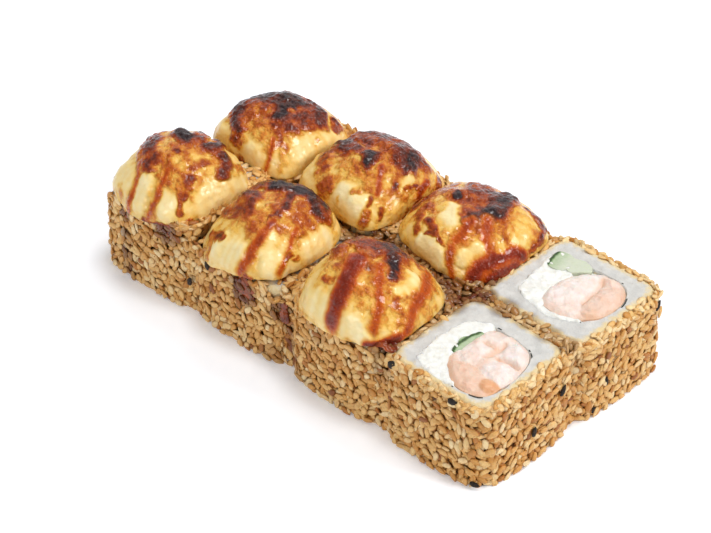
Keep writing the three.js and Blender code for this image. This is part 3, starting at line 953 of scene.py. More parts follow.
@dataclass
class RiceBlock:
    """The rice of one slice, under its coat, with a hole where a filling runs through."""

    slice: Slice
    hole: Traced | None
    set_in: float = 0.8
    open_set_in: float = 0.35
    around: int = 224
    across: int = 26
    down: int = 12
    inner_ring: float = 0.4
    closed_core: float = 4.0
    over_coat: float = 0.1
    rim_drop: float = 1.0
    rim_round: float = 0.7
    stain_from: float = 0.8
    stain_spread: float = 1.5

    def build(self, builder: Builder) -> None:
        """Builds the block and dresses it.

        Args:
            builder: Makes the piece and holds the finishes.
        """
        outline = self.slice.outline.grown(-self.open_set_in if self.hole else -self.set_in)
        middle = self.hole.middle if self.hole else outline.middle
        shape, inner, walls = new_ring(self.around, self.inner_ring, self.across)
        if self.hole:
            walls = walls + inner
        else:
            bmesh.ops.edgeloop_fill(shape, edges=inner)
        sink(shape, walls, [1.0] * self.down)
        bottom = [edge for edge in shape.edges if edge.is_boundary]
        if self.hole:
            bmesh.ops.bridge_loops(shape, edges=bottom)
        else:
            bmesh.ops.edgeloop_fill(shape, edges=bottom)
        disc = points_of(shape)
        angles = angles_of(disc)
        part = (np.hypot(disc[:, 0], disc[:, 1]) - self.inner_ring) / (1.0 - self.inner_ring)
        start = self.hole.radius(angles) if self.hole else self.closed_core
        radius = start + (outline.reach_from(middle, angles) - start) * part
        plan = middle + radius[:, None] * compass(angles)
        depth = outline.depth_of(plan)
        on_top = disc[:, 2] > -0.5
        level = -disc[:, 2] / self.down
        top = self.slice.top + self.over_coat - self.rim_drop * bell(depth, self.rim_round)
        flat = np.column_stack([plan, np.zeros(len(plan))])
        uneven = relief(flat, (0.15, 1.9, self.slice.place), (0.25, 6.0, self.slice.place + 4))
        height = np.where(on_top, top + uneven, top * (1 - level))
        points = self.slice.sagged(np.column_stack([plan, np.maximum(height, 0.0)]))
        move_points(shape, points)
        stained = bell(np.maximum(depth - self.stain_from, 0.0), self.stain_spread)
        marks = {
            "rim": np.where(on_top, stained, 1.0),
            # Where the walls get painted shade behind the seeds and between slices, partly toasted-oil stain;
            # less where the rice lies bare
            "behind": np.where(on_top, 0.0, (part > 0.5) * 1.0) * (1 - 0.9 * bared(points)),
            "soaked": soaking(points),
        }
        name = self.slice.name
        builder.piece(f"rice_{name}", shape, builder.larder.rice, [f"slice_{name}"], marks)


@dataclass(frozen=True)
class Spot:
    """A ball of space in which something holds: its middle, its reach and its strength."""

    at: tuple[float, float, float]
    reach: float
    strength: float = 0.85

    def share(self, points: Array) -> Array:
        """Gives how strongly it holds at points."""
        away = np.linalg.norm(points - np.array(self.at), axis=1)
        return self.strength * (1 - smoothstep(0.5 * self.reach, self.reach, away))


# Where sauce has soaked the seeds, and where seeds have come off the rice
SOAKED = (
    Spot((-57.0, -33.0, 19.0), 3.0, 0.8), Spot((-56.8, -33.0, 13.0), 2.8, 0.7),
    Spot((-56.4, -33.2, 7.5), 2.8, 0.8), Spot((-55.6, -33.4, 2.5), 3.0, 0.8),
    Spot((-41.6, -33.0, 22.4), 5.6, 0.95), Spot((-14.0, -32.6, 17.5), 5.6, 0.95),
    Spot((-2.0, -32.2, 17.0), 4.0, 0.8), Spot((0.5, -32.0, 12.0), 4.0, 0.55),
    Spot((1.5, -32.5, 7.0), 4.0, 0.45), Spot((4.5, -33.0, 3.0), 4.0, 0.35),
    Spot((1.5, -2.0, 24.0), 8.0), Spot((-3.0, -4.0, 23.0), 6.0), Spot((8.0, 2.0, 24.0), 6.0, 0.75),
    Spot((-31.0, -1.0, 23.0), 5.0, 0.4), Spot((16.0, -1.0, 24.0), 5.0, 0.55),
    Spot((24.0, -1.0, 24.0), 6.0, 0.8), Spot((31.0, -2.0, 24.0), 6.0, 0.9),
    Spot((36.0, 1.0, 24.5), 4.6, 0.85), Spot((43.0, 1.0, 24.5), 5.0, 0.6),
    Spot((50.0, 1.0, 24.5), 4.5, 0.35), Spot((57.0, 1.0, 24.5), 4.5, 0.45),
    Spot((63.0, 1.0, 24.5), 4.0, 0.5), Spot((31.2, 7.0, 24.0), 5.4, 0.9),
    Spot((33.0, 0.0, 22.5), 5.6, 0.9), Spot((33.0, -7.0, 24.0), 5.0, 0.6),
    Spot((32.8, -15.0, 24.0), 4.5, 0.45),
    Spot((32.6, -22.0, 24.0), 4.5, 0.6), Spot((31.6, -29.0, 24.0), 4.5, 0.85),
    Spot((33.0, -32.2, 18.0), 4.0, 0.5), Spot((12.0, -33.0, 19.0), 4.0, 0.3),
    Spot((65.5, 1.5, 19.0), 4.0, 0.3), Spot((-5.0, -33.0, 2.0), 5.0, 0.3),
)
BARE = (
    Spot((-63.0, -31.0, 25.0), 4.6, 1.0), Spot((-65.4, -29.5, 21.0), 3.2, 1.0),
    Spot((-31.0, -32.0, 22.0), 3.6, 1.0), Spot((-4.2, -31.6, 22.4), 3.8, 1.0),
    Spot((3.4, -32.2, 17.6), 2.0, 1.0), Spot((3.4, -32.2, 10.6), 2.0, 1.0),
    Spot((27.0, -31.6, 24.0), 3.0, 1.0), Spot((-66.0, -22.0, 25.7), 4.6, 1.0),
    Spot((-66.0, -14.0, 25.7), 4.0, 1.0), Spot((-66.2, -27.5, 26.0), 3.8, 1.0),
)


def soaking(points: Array) -> Array:
    """Gives how far sauce has soaked the roll at points, from 0 to 1."""
    return np.max([spot.share(points) for spot in SOAKED], axis=0)


def bared(points: Array) -> Array:
    """Gives how far the rice lies bare at points, from 0 to 1."""
    return np.max([spot.share(points) for spot in BARE], axis=0)


# The sesame seeds

class SeedPlace(NamedTuple):
    """Where one seed lies: its middle, its outward direction, its turn and how far it may tilt."""

    middle: Array
    outward: Array
    turn: float
    tilt: float


def whole_turn(random: np.random.Generator) -> float:
    """Draws any turn, in radians."""
    return random.uniform(0.0, 2 * math.pi)


def jog(random: np.random.Generator, reach: float, count: int | None = None) -> Array | float:
    """Draws one shift, or a row of them, of at most this reach either way."""
    return random.uniform(-reach, reach, count)


def turned(first: Array, second: Array, angles: Array) -> Array:
    """Turns directions, one a row, towards others at right angles to them."""
    return first * np.cos(angles)[:, None] + second * np.sin(angles)[:, None]


def unit(directions: Array) -> Array:
    """Makes directions, one a row, 1 long."""
    return directions / np.linalg.norm(directions, axis=-1, keepdims=True)


@dataclass(frozen=True)
class SesameSeed:
    """A sesame seed, and how many of them are laid as one mesh.

    It tapers towards its point, is flattened like a lens and has a thin edge. The shade gives the
    seeds' mean tone and how far it strays, patchy is a layer of noise on it, and a few are browned.
    """

    length: float = 3.15
    width: float = 1.9
    thickness: float = 0.95
    segments: int = 8
    rings: int = 5
    taper: tuple[float, float] = (0.3, 0.06)
    flattened: float = 0.3
    edge_from: float = 0.7
    sizes: tuple[float, float] = (0.88, 1.12)
    roll: float = 0.8
    shade: tuple[float, float] = (0.62, 0.2)
    patchy: tuple[float, float, float] = (0.12, 8.0, 5.0)
    browned_share: float = 0.05
    browned_tone: float = 0.22
    soaked_share: tuple[float, float] = (0.75, 1.1)

    def shaped(self) -> tuple[Array, Array, list[list[int]]]:
        """Shapes one seed, lying along X with its point at +X.

        Returns:
            Its points, in halves of its length, width and thickness, how near each lies to its
            thin edge, and its faces.
        """
        shape = new_ball(self.segments, self.rings)
        points = points_of(shape)
        faces = [[vertex.index for vertex in face.verts] for face in shape.faces]
        shape.free()
        along = points[:, 2]
        flank = np.hypot(points[:, 0], points[:, 1])
        lens = 1 - self.flattened * np.abs(points[:, 0] * points[:, 1]) / np.maximum(flank, 0.01) ** 2
        slim = (1.0 - self.taper[0] * along - self.taper[1] * along**2) * lens
        edge = smoothstep(self.edge_from, 1.0, np.hypot(0.9 * along, points[:, 0]))
        return np.column_stack([along, points[:, 0] * slim, points[:, 1] * slim]), edge, faces

    def lay(
        self,
        builder: Builder,
        name: str,
        finish: bpy.types.Material,
        places: list[SeedPlace],
        random: np.random.Generator,
        paler: Array | float = 0.0,
    ) -> None:
        """Lays seeds as one joined mesh.

        Args:
            builder: Makes the piece.
            name: The piece's name.
            finish: The seeds' material.
            places: Where each seed lies.
            random: Gives the random draws.
            paler: How much paler each seed is than it would be.
        """
        seed, edge, faces = self.shaped()
        count, each = len(places), len(seed)
        middles, outward, turns, tilts = (np.array(row) for row in zip(*places))
        upright = np.abs(outward[:, 2:3]) > 0.9
        across = unit(np.cross(np.where(upright, [[1.0, 0.0, 0.0]], [[0.0, 0.0, 1.0]]), outward))
        along = turned(across, np.cross(outward, across), turns)
        along = turned(along, outward, random.normal(0.0, 1.0, count) * tilts)
        side = unit(np.cross(outward, along))
        roll = random.normal(0.0, self.roll, count) * tilts
        face = np.cross(along, side)
        side, face = turned(side, face, roll), turned(face, -side, roll)
        halves = np.array([self.length, self.width, self.thickness]) / 2
        sizes = random.uniform(*self.sizes, (count, 3)) * halves
        axes = np.stack([along, side, face], axis=1)
        points = middles[:, None, :] + np.einsum("pk,sk,skd->spd", seed, sizes, axes)
        points[:, :, 2] = np.maximum(points[:, :, 2], OFF_TABLE)
        mesh = bpy.data.meshes.new(name)
        all_faces = [[at + each * number for at in corners] for number in range(count) for corners in faces]
        mesh.from_pydata(points.reshape(-1, 3), [], all_faces)
        shade = random.normal(*self.shade, count) + relief(middles, self.patchy)
        browned = random.random(count) < self.browned_share
        shade = np.where(browned, random.uniform(0.0, self.browned_tone, count), shade) + paler
        marks = {
            "shade": np.repeat(np.clip(shade, 0.0, 1.0), each),
            "edge": np.tile(edge, count),
            "soaked": np.repeat(soaking(middles) * random.uniform(*self.soaked_share, count), each),
        }
        builder.piece(name, mesh, finish, (), marks)


class SeedLayer(NamedTuple):
    """One layer of the coat: how far out it lies, how far its seeds tilt, and their pitch."""

    out: float
    tilt: float
    pitch: float


class RimBand(NamedTuple):
    """One band of seeds on a slice's top: how far in and up it lies, and the share that is laid."""

    inset: float
    up: float
    share: float


COAT_LAYERS = (SeedLayer(-0.4, 0.14, 2.0), SeedLayer(0.05, 0.16, 2.1), SeedLayer(0.42, 0.1, 3.2))
OPEN_RIM = (RimBand(-0.1, -0.75, 1.0), RimBand(0.35, -0.3, 0.6), RimBand(1.1, 0.1, 0.16))
CAPPED_INSETS = (1.2, 2.6, 4.0, 5.4, 6.8, 8.2)
CAPPED_TOP = (RimBand(0.3, -0.3, 1.0), *(RimBand(inset, 0.2, 0.95) for inset in CAPPED_INSETS))


@dataclass
class SesameCoat:
    """The toasted sesame seeds on one slice, seed by seed.

    Inner walls, which face another slice, get one layer, and only near the top. The margins are
    what its rows leave free at foot and top. The upright share is how much a seed on the top looks
    upwards at least, on the outer edge and elsewhere.
    """

    slice: Slice
    covered: Callable[[Array], bool]
    inner_from: float = 0.3
    inner_band: float = 7.0
    inner_set_in: float = 0.5
    lowest: float = 0.9
    margins: float = 1.3
    margins_open: float = 1.9
    least_band: float = 0.6
    row_pitch: float = 0.92
    slide: float = 0.28
    up_and_down: float = 0.6
    in_and_out: float = 0.12
    rim_pitch: float = 1.8
    rim_tilt: float = 0.25
    rim_jog: float = 0.4
    rim_up: tuple[float, float] = (-0.25, 0.2)
    upright_share: tuple[float, float] = (0.5, 0.8)
    bare_from: float = 0.45
    pale_band: float = 3.5
    paler: float = 0.24

    def wall_places(self, random: np.random.Generator) -> list[SeedPlace]:
        """Chooses where seeds lie on the walls.

        Args:
            random: Gives the random draws.

        Returns:
            The seeds' places.
        """
        found = []
        top = self.slice.top
        climb = top - (self.margins_open if self.slice.is_open else self.margins)
        for number, (out, tilt, pitch) in enumerate(COAT_LAYERS):
            rows = int((top - self.least_band) / (pitch * self.row_pitch))
            places, ways, which = self.slice.outline.walk(pitch)
            share = self.slice.outer_share(which)
            for row in range(rows + 1):
                base = self.lowest + row * climb / rows
                for place, way, outer in zip(places, ways, share):
                    inner = outer < self.inner_from
                    if inner and (number > 0 or base < top - self.inner_band):
                        continue
                    slide = jog(random, self.slide) * pitch + (row % 2) * pitch / 2
                    z = base + jog(random, self.up_and_down)
                    lift = out + jog(random, self.in_and_out) - self.inner_set_in * inner
                    plan = place + np.array([-way[1], way[0]]) * slide + way * lift
                    middle = np.array([*plan, z])
                    found.append(SeedPlace(middle, np.array([*way, 0.0]), whole_turn(random), tilt))
        return found

    def rim_places(self, random: np.random.Generator) -> list[SeedPlace]:
        """Chooses where seeds lie on the top, along its edge and wherever no cap covers it.

        Args:
            random: Gives the random draws.

        Returns:
            The seeds' places.
        """
        found = []
        for band in OPEN_RIM if self.slice.is_open else CAPPED_TOP:
            places, ways, which = self.slice.outline.grown(-band.inset).walk(self.rim_pitch)
            for place, way, outer in zip(places, ways, self.slice.outer_share(which)):
                if random.random() > band.share:
                    continue
                on_edge = outer > self.inner_from and band.inset < 1.0
                up = random.uniform(self.upright_share[0 if on_edge else 1], 1.0)
                outward = unit(np.array([*(way * (1 - up)), up]))
                plan = place + jog(random, self.rim_jog, 2)
                z = self.slice.top + band.up + random.uniform(*self.rim_up)
                found.append(SeedPlace(np.array([*plan, z]), outward, whole_turn(random), self.rim_tilt))
        return found

    def build(self, builder: Builder) -> None:
        """Builds the coat and dresses it.

        Args:
            builder: Makes the piece and holds the finishes.
        """
        random = np.random.default_rng(40 + 10 * (self.slice.row is Row.BACK) + self.slice.place)
        places = self.wall_places(random) + self.rim_places(random)
        places = [place for place in places if not self.covered(place.middle)]
        gone = bared(np.array([place.middle for place in places])) > self.bare_from
        places = [place for place, bare in zip(places, gone) if not bare]
        middles = self.slice.sagged(np.array([place.middle for place in places]))
        places = [place._replace(middle=middle) for place, middle in zip(places, middles)]
        top = self.slice.top
        near_top = self.slice.is_open * smoothstep(top - self.pale_band, top, middles[:, 2])
        name = f"sesame_{self.slice.name}"
        SesameSeed().lay(builder, name, builder.larder.sesame, places, random, self.paler * near_top)


@dataclass(frozen=True)
class DarkSeeds:
    """The few black seeds that stick between the pale ones: place, outward direction and turn."""

    places: tuple[tuple[float, float, float, float, float, float], ...] = (
        (-33.2, -33.2, 10.1, 0.0, -1.0, 70.0), (-26.5, -33.2, 18.9, 0.0, -1.0, 100.0),
        (37.1, -32.9, 23.3, 0.0, -1.0, 60.0), (56.7, -32.9, 23.3, 0.0, -1.0, 20.0),
        (64.0, -32.4, 1.4, 0.3, -0.95, 0.0), (67.3, -15.0, 9.1, 1.0, 0.0, 78.0),
        (66.6, -4.0, 14.9, 1.0, 0.0, 65.0), (67.2, 11.8, 8.3, 1.0, 0.0, 90.0),
        (67.2, 8.2, 1.6, 1.0, 0.0, -20.0), (66.8, 31.0, 20.9, 1.0, 0.0, 60.0),
    )
    tilt: float = 0.05

    def build(self, builder: Builder) -> None:
        """Builds the seeds and dresses them.

        Args:
            builder: Makes the piece and holds the finishes.
        """
        places = [
            SeedPlace(np.array([x, y, z]), np.array([nx, ny, 0.0]), math.radians(turn), self.tilt)
            for x, y, z, nx, ny, turn in self.places
        ]
        SesameSeed().lay(builder, "dark_sesame", builder.larder.dark_sesame, places, np.random.default_rng(7))


@dataclass(frozen=True)
class SeamSeeds:
    """Seeds pressed into the grooves where slices stand side by side.

    Each seam is a place in plan, its outward direction, its height and how deep it stays. Each
    crossing is a place in plan between the caps, where a small heap of seeds lies on the rice.
    """

    seams: tuple[tuple[float, float, float, float, float, float], ...] = (
        (-33.1, -32.5, 0.0, -1.0, 22.0, 0.4), (0.4, -32.4, 0.0, -1.0, 20.0, 1.6),
        (33.1, -32.3, 0.0, -1.0, 23.4, 0.3), (66.0, 1.0, 1.0, 0.0, 23.4, 0.4),
        (-30.3, 29.5, 0.0, 1.0, 23.0, 0.5), (1.5, 30.8, 0.0, 1.0, 23.0, 0.5),
        (32.9, 32.8, 0.0, 1.0, 23.0, 0.6), (-60.4, -0.6, 0.0, 1.0, 24.0, -0.2),
    )
    crossings: tuple[tuple[float, float], ...] = (
        (33.2, 0.2), (0.8, 0.0), (-31.0, -0.6), (0.6, -8.0), (0.6, -15.0), (0.5, -22.0), (0.4, -28.0),
        (-33.0, -9.0), (-33.0, -16.0), (-33.0, -23.0), (1.4, 9.0), (1.4, 17.0), (1.4, 25.0),
    )
    lowest: float = 0.9
    pitch: float = 1.8
    layers: tuple[float, ...] = (-1.1, -0.4)
    slides: tuple[float, ...] = (-3.2, -1.6, 0.0, 1.6, 3.2)
    shift: float = 0.7
    hollow: float = 0.04
    in_and_out: float = 0.15
    tilt: float = 0.25
    heap_heights: tuple[float, ...] = (20.6, 21.8, 23.0)
    heap_size: int = 14
    heap_spread: tuple[float, float, float] = (1.5, 2.2, 0.35)
    heap_tilt: float = 0.3

    def seam_places(self, random: np.random.Generator) -> list[SeedPlace]:
        """Chooses where seeds lie in the seams.

        Args:
            random: Gives the random draws.

        Returns:
            The seeds' places.
        """
        found = []
        for x, y, nx, ny, height, inset in self.seams:
            way, side = np.array([nx, ny]), np.array([-ny, nx])
            for z in np.arange(self.lowest, height, self.pitch):
                for out, slide in itertools.product(self.layers, self.slides):
                    at = slide + jog(random, self.shift)
                    deep = out - inset + self.hollow * at**2 + jog(random, self.in_and_out)
                    plan = np.array([x, y]) + side * at + way * deep
                    outward = unit(way + side * at * 0.1 * (1 if inset > 1 else 0))
                    middle = np.array([*plan, z + jog(random, self.shift)])
                    found.append(SeedPlace(middle, np.array([*outward, 0.0]), whole_turn(random), self.tilt))
        return found

    def heap_places(self, random: np.random.Generator) -> list[SeedPlace]:
        """Chooses where seeds lie at the crossings.

        Args:
            random: Gives the random draws.

        Returns:
            The seeds' places.
        """
        found = []
        for (x, y), z in itertools.product(self.crossings, self.heap_heights):
            for _ in range(self.heap_size):
                middle = np.array([x, y, z]) + random.normal(0.0, 1.0, 3) * self.heap_spread
                outward = unit(np.array([*random.normal(0.0, self.heap_tilt, 2), 1.0]))
                found.append(SeedPlace(middle, outward, whole_turn(random), self.heap_tilt))
        return found

    def build(self, builder: Builder) -> None:
        """Builds the seeds and dresses them.

        Args:
            builder: Makes the piece and holds the finishes.
        """
        random = np.random.default_rng(19)
        places = self.seam_places(random) + self.heap_places(random)
        SesameSeed().lay(builder, "sesame_seams", builder.larder.sesame, places, random)


# The caps

@dataclass(frozen=True)
class Stroke:
    """A mark of one tone on a cap, painted over the marks before it.

    Its line is given on a flat map of the cap, walked from the crown in millimetres. Tones go
    from 0, pale, over gold, amber at 0.5 and rust, to 1, black. The rise lifts sauce and lobes.
    """

    line: tuple[tuple[float, float], ...]
    width: float
    tone: float
    rise: float = 0.0

    @property
    def is_sauce(self) -> bool:
        """Whether it is a run of clear sauce rather than toasted cheese."""
        return SAUCE_FROM <= self.tone <= 0.8 and self.rise >= 0.35 and self.width <= 8.5

    @property
    def edge(self) -> tuple[float, float]:
        """Where it starts to thin out and where it ends, in half widths."""
        return (0.2, 1.2) if self.is_sauce else (0.35, 1.3)

    @property
    def wander(self) -> tuple[float, float]:
        """How far the broad and the fine unevenness bend it, in millimetres."""
        return (0.45, 0.2) if self.is_sauce else (1.0, 0.5)

    @property
    def ground(self) -> float:
        """The tone of the cheese itself, which shows through sauce."""
        return 0.38 if self.is_sauce else self.tone

    @property
    def lift(self) -> float:
        """How far it stands up; wide toasted patches have swollen."""
        swollen = 0.8 if self.tone >= 0.6 and self.width >= 4.2 else 0.0
        return 0.55 * self.rise if self.is_sauce else max(self.rise, swollen)

    def depth(self, share: Array) -> Array | float:
        """Gives how deep sauce stands, from 0 to 1, at distances from its line in half widths."""
        if not self.is_sauce:
            return 0.0
        return 0.12 + 1.2 * (self.tone - SAUCE_FROM) + 0.3 * np.clip(1 - share, 0.0, 1.0)


@dataclass(frozen=True)
class Swell:
    """A blister or lobe of the cap: its place from the middle, rise and spread."""

    x: float
    y: float
    rise: float
    spread: float


# Where the caps of a row press on each other
CAP_SEAMS = {Row.FRONT: (-33.4, 0.4), Row.BACK: (-30.4, 1.4)}


@dataclass
class CheeseCap:
    """A cap of melted cheese: a squared egg that sags over its slice, with blisters and sauce.

    Its belly and rise are heights. It leans by a shift of its crown. Its flap, a direction in
    degrees and a depth, is where it hangs lowest. The powers shape it: slope and crown_round
    from crown to foot, and the two squares from round at 2 to square.
    """

    slice: Slice
    at: tuple[float, float]
    half: tuple[float, float]
    belly: float
    rise: float
    lean: tuple[float, float]
    flap: tuple[float, float]
    swells: tuple[Swell, ...]
    strokes: tuple[Stroke, ...]
    around: int = 288
    upward: int = 144
    slope: float = 2.2
    crown_round: float = 1.6
    sag: float = 4.0
    crown_square: float = 2.0
    belly_square: float = 3.0
    squeeze: float = 0.7
    row_split: float = -2.4
    gap: float = 0.3
    flap_width: float = 50.0
    plain_tone: float = 0.21
    hidden_rim: float = 0.9
    hidden_below: float = 3.0
    walk_steps: int = 721
    broad_grain: float = 3.4
    fine_grain: float = 1.2
    streaky_sides: tuple[float, float] = (6.0, 14.0)

    @property
    def number(self) -> int:
        """The cap's number in the order in which the rows are laid."""
        return self.slice.place - 1 + 3 * (self.slice.row is Row.BACK)

    @property
    def splits(self) -> tuple[float | None, float | None]:
        """Where it presses on the caps to its left and right."""
        edges = (None, *CAP_SEAMS[self.slice.row], None)
        return edges[self.slice.place - 1], edges[self.slice.place]

    def pressed(self, value: Array, limit: float) -> Array:
        """Presses values softly against a limit on their upper side."""
        return limit - self.squeeze * np.log1p(np.exp((limit - value) / self.squeeze))

    def covers(self, place: Array) -> bool:
        """Tells whether the cap hides a place on the slices."""
        across = abs(place[0] - self.at[0]) / (self.half[0] - self.hidden_rim)
        along = abs(place[1] - self.at[1]) / (self.half[1] - self.hidden_rim)
        return place[2] > self.belly - self.hidden_below and across**3 + along**3 < 1.0

    def rounded(self, level: Array) -> Array:
        """Rounds levels between -1 at the foot and 1 at the crown."""
        return np.sign(level) * np.abs(level) ** (2 / self.crown_round)

    def over_belly(self, level: Array) -> Array:
        """Gives how high rounded levels stand over the belly."""
        return level * np.where(level > 0, self.rise, self.sag)

    def walked(self, polar: Array) -> Array:
        """Measures how far the skin runs from the crown.

        Args:
            polar: Angles from the crown of the ball that the cap is shaped from.

        Returns:
            The way along the skin to each angle, in millimetres.
        """
        steps = np.linspace(0.0, math.pi, self.walk_steps)
        out = np.sin(steps) ** (2 / self.slope) * sum(self.half) / 2
        up = self.over_belly(self.rounded(np.cos(steps)))
        ways = np.concatenate([[0.0], np.cumsum(np.hypot(np.diff(out), np.diff(up)))])
        return np.interp(polar, steps, ways)

    def egg(self, ball: Array) -> tuple[Array, Array, Array]:
        """Shapes the smooth cap from a ball.

        Args:
            ball: Points on a ball of radius 1.

        Returns:
            The points on the cap, the same points on its flat map, and a share that is 1 above
            the belly and 0 well below it.
        """
        angle = angles_of(ball)
        level = np.hypot(ball[:, 0], ball[:, 1]) ** (2 / self.slope)
        height = self.rounded(ball[:, 2])
        power = self.crown_square + (self.belly_square - self.crown_square) * level**2
        square = (np.abs(np.cos(angle)) ** power + np.abs(np.sin(angle)) ** power) ** (-1 / power)
        # Three broad and seven narrow bulges round the foot
        wavy = 1 + 0.02 * np.sin(3 * angle + self.number) + 0.012 * np.sin(7 * angle + 2 * self.number)
        wide = level * square * wavy
        leaning = 1 - level**2
        dx = self.half[0] * wide * np.cos(angle) + self.lean[0] * leaning
        dy = self.half[1] * wide * np.sin(angle) + self.lean[1] * leaning
        z = self.belly + self.over_belly(height)
        z -= self.flap[1] * bell(turned_from(angle, self.flap[0]), self.flap_width) * level**2
        upper = smoothstep(-0.3, 0.0, height)
        for swell in self.swells:
            z += upper * swell.rise * bell(np.hypot(dx - swell.x, dy - swell.y), swell.spread)
        x, y = self.pressed_by_neighbours(self.at[0] + dx, self.at[1] + dy)
        walked = self.walked(np.arccos(np.clip(ball[:, 2], -1.0, 1.0)))
        return np.column_stack([x, y, z]), walked[:, None] * compass(angle), upper

    def build(self, builder: Builder) -> None:
        """Builds the cap and dresses it.

        Args:
            builder: Makes the piece and holds the finishes.
        """
        shape = new_ball(self.around, self.upward)
        points, flat, upper = self.egg(points_of(shape))
        tone, sauce, rise = self.painted(flat, points)
        move_points(shape, points)
        shape.normal_update()
        normals = np.array([vertex.normal[:] for vertex in shape.verts])
        lumps = relief(points, (0.45, 4.2, self.number), (0.14, 1.8, self.number + 9))
        lumps += 0.3 * smoothstep(0.3, 0.6, tone) * (1 - 0.6 * sauce) * rough(points, 1.2, self.number + 60)
        points = points + normals * (lumps + rise * upper)[:, None]
        x, y = self.pressed_by_neighbours(points[:, 0], points[:, 1])
        move_points(shape, np.column_stack([x, y, points[:, 2]]))
        name, finish = self.slice.name, builder.larder.cheese
        marks = {"tone": tone, "sauce": sauce}
        builder.piece(f"cheese_{name}", shape, finish, [f"cap_{name}"], marks)

    def pressed_by_neighbours(self, x: Array, y: Array) -> tuple[Array, Array]:
        """Keeps the cap clear of the caps beside it and across the rows.

        Args:
            x: Places along the rows.
            y: Places across the rows.

        Returns:
            The changed places along and across the rows.
        """
        left, right = self.splits
        if right is not None:
            x = self.pressed(x, right - self.gap / 2)
        if left is not None:
            x = -self.pressed(-x, -(left + self.gap / 2))
        if self.slice.row is Row.FRONT:
            return x, self.pressed(y, self.row_split - self.gap / 2)
        return x, -self.pressed(-y, -(self.row_split + self.gap / 2))

    def painted(self, flat: Array, points: Array) -> tuple[Array, Array, Array]:
        """Paints the strokes one over the other, then fine streaks that run down the sides.

        Args:
            flat: Places on the flat map of the cap.
            points: The same places in space.

        Returns:
            For each place its tone, how deep sauce stands on it from 0 to 1, and how far it
            stands up in millimetres.
        """
        seed = self.number + 30
        broad = np.column_stack([rough(points, self.broad_grain, seed + more) for more in (0, 10)])
        fine = np.column_stack([rough(points, self.fine_grain, seed + more) for more in (20, 30)])
        tone = self.plain_tone + 0.08 * rough(points, 4.0, seed + 40)
        sauce = np.zeros(len(flat))
        rise = np.zeros(len(flat))
        for stroke in self.strokes:
            moved = flat + stroke.wander[0] * broad + stroke.wander[1] * fine
            share = distance_to_run(moved, stroke.line) / (stroke.width / 2)
            cover = 1 - smoothstep(*stroke.edge, share)
            tone = tone * (1 - cover) + stroke.ground * cover
            sauce = sauce * (1 - cover) + stroke.depth(share) * cover
            rise = np.maximum(rise, stroke.lift * np.clip(1.1 - share**2, 0.0, 1.0) ** 0.7)
        streaks = rough(9 * angles_of(flat)[:, None] * [1.0, 0.0, 0.0], 1.0, seed)
        down = smoothstep(*self.streaky_sides, np.linalg.norm(flat, axis=1))
        return tone + 0.1 * streaks * down, np.clip(sauce, 0.0, 1.0), rise


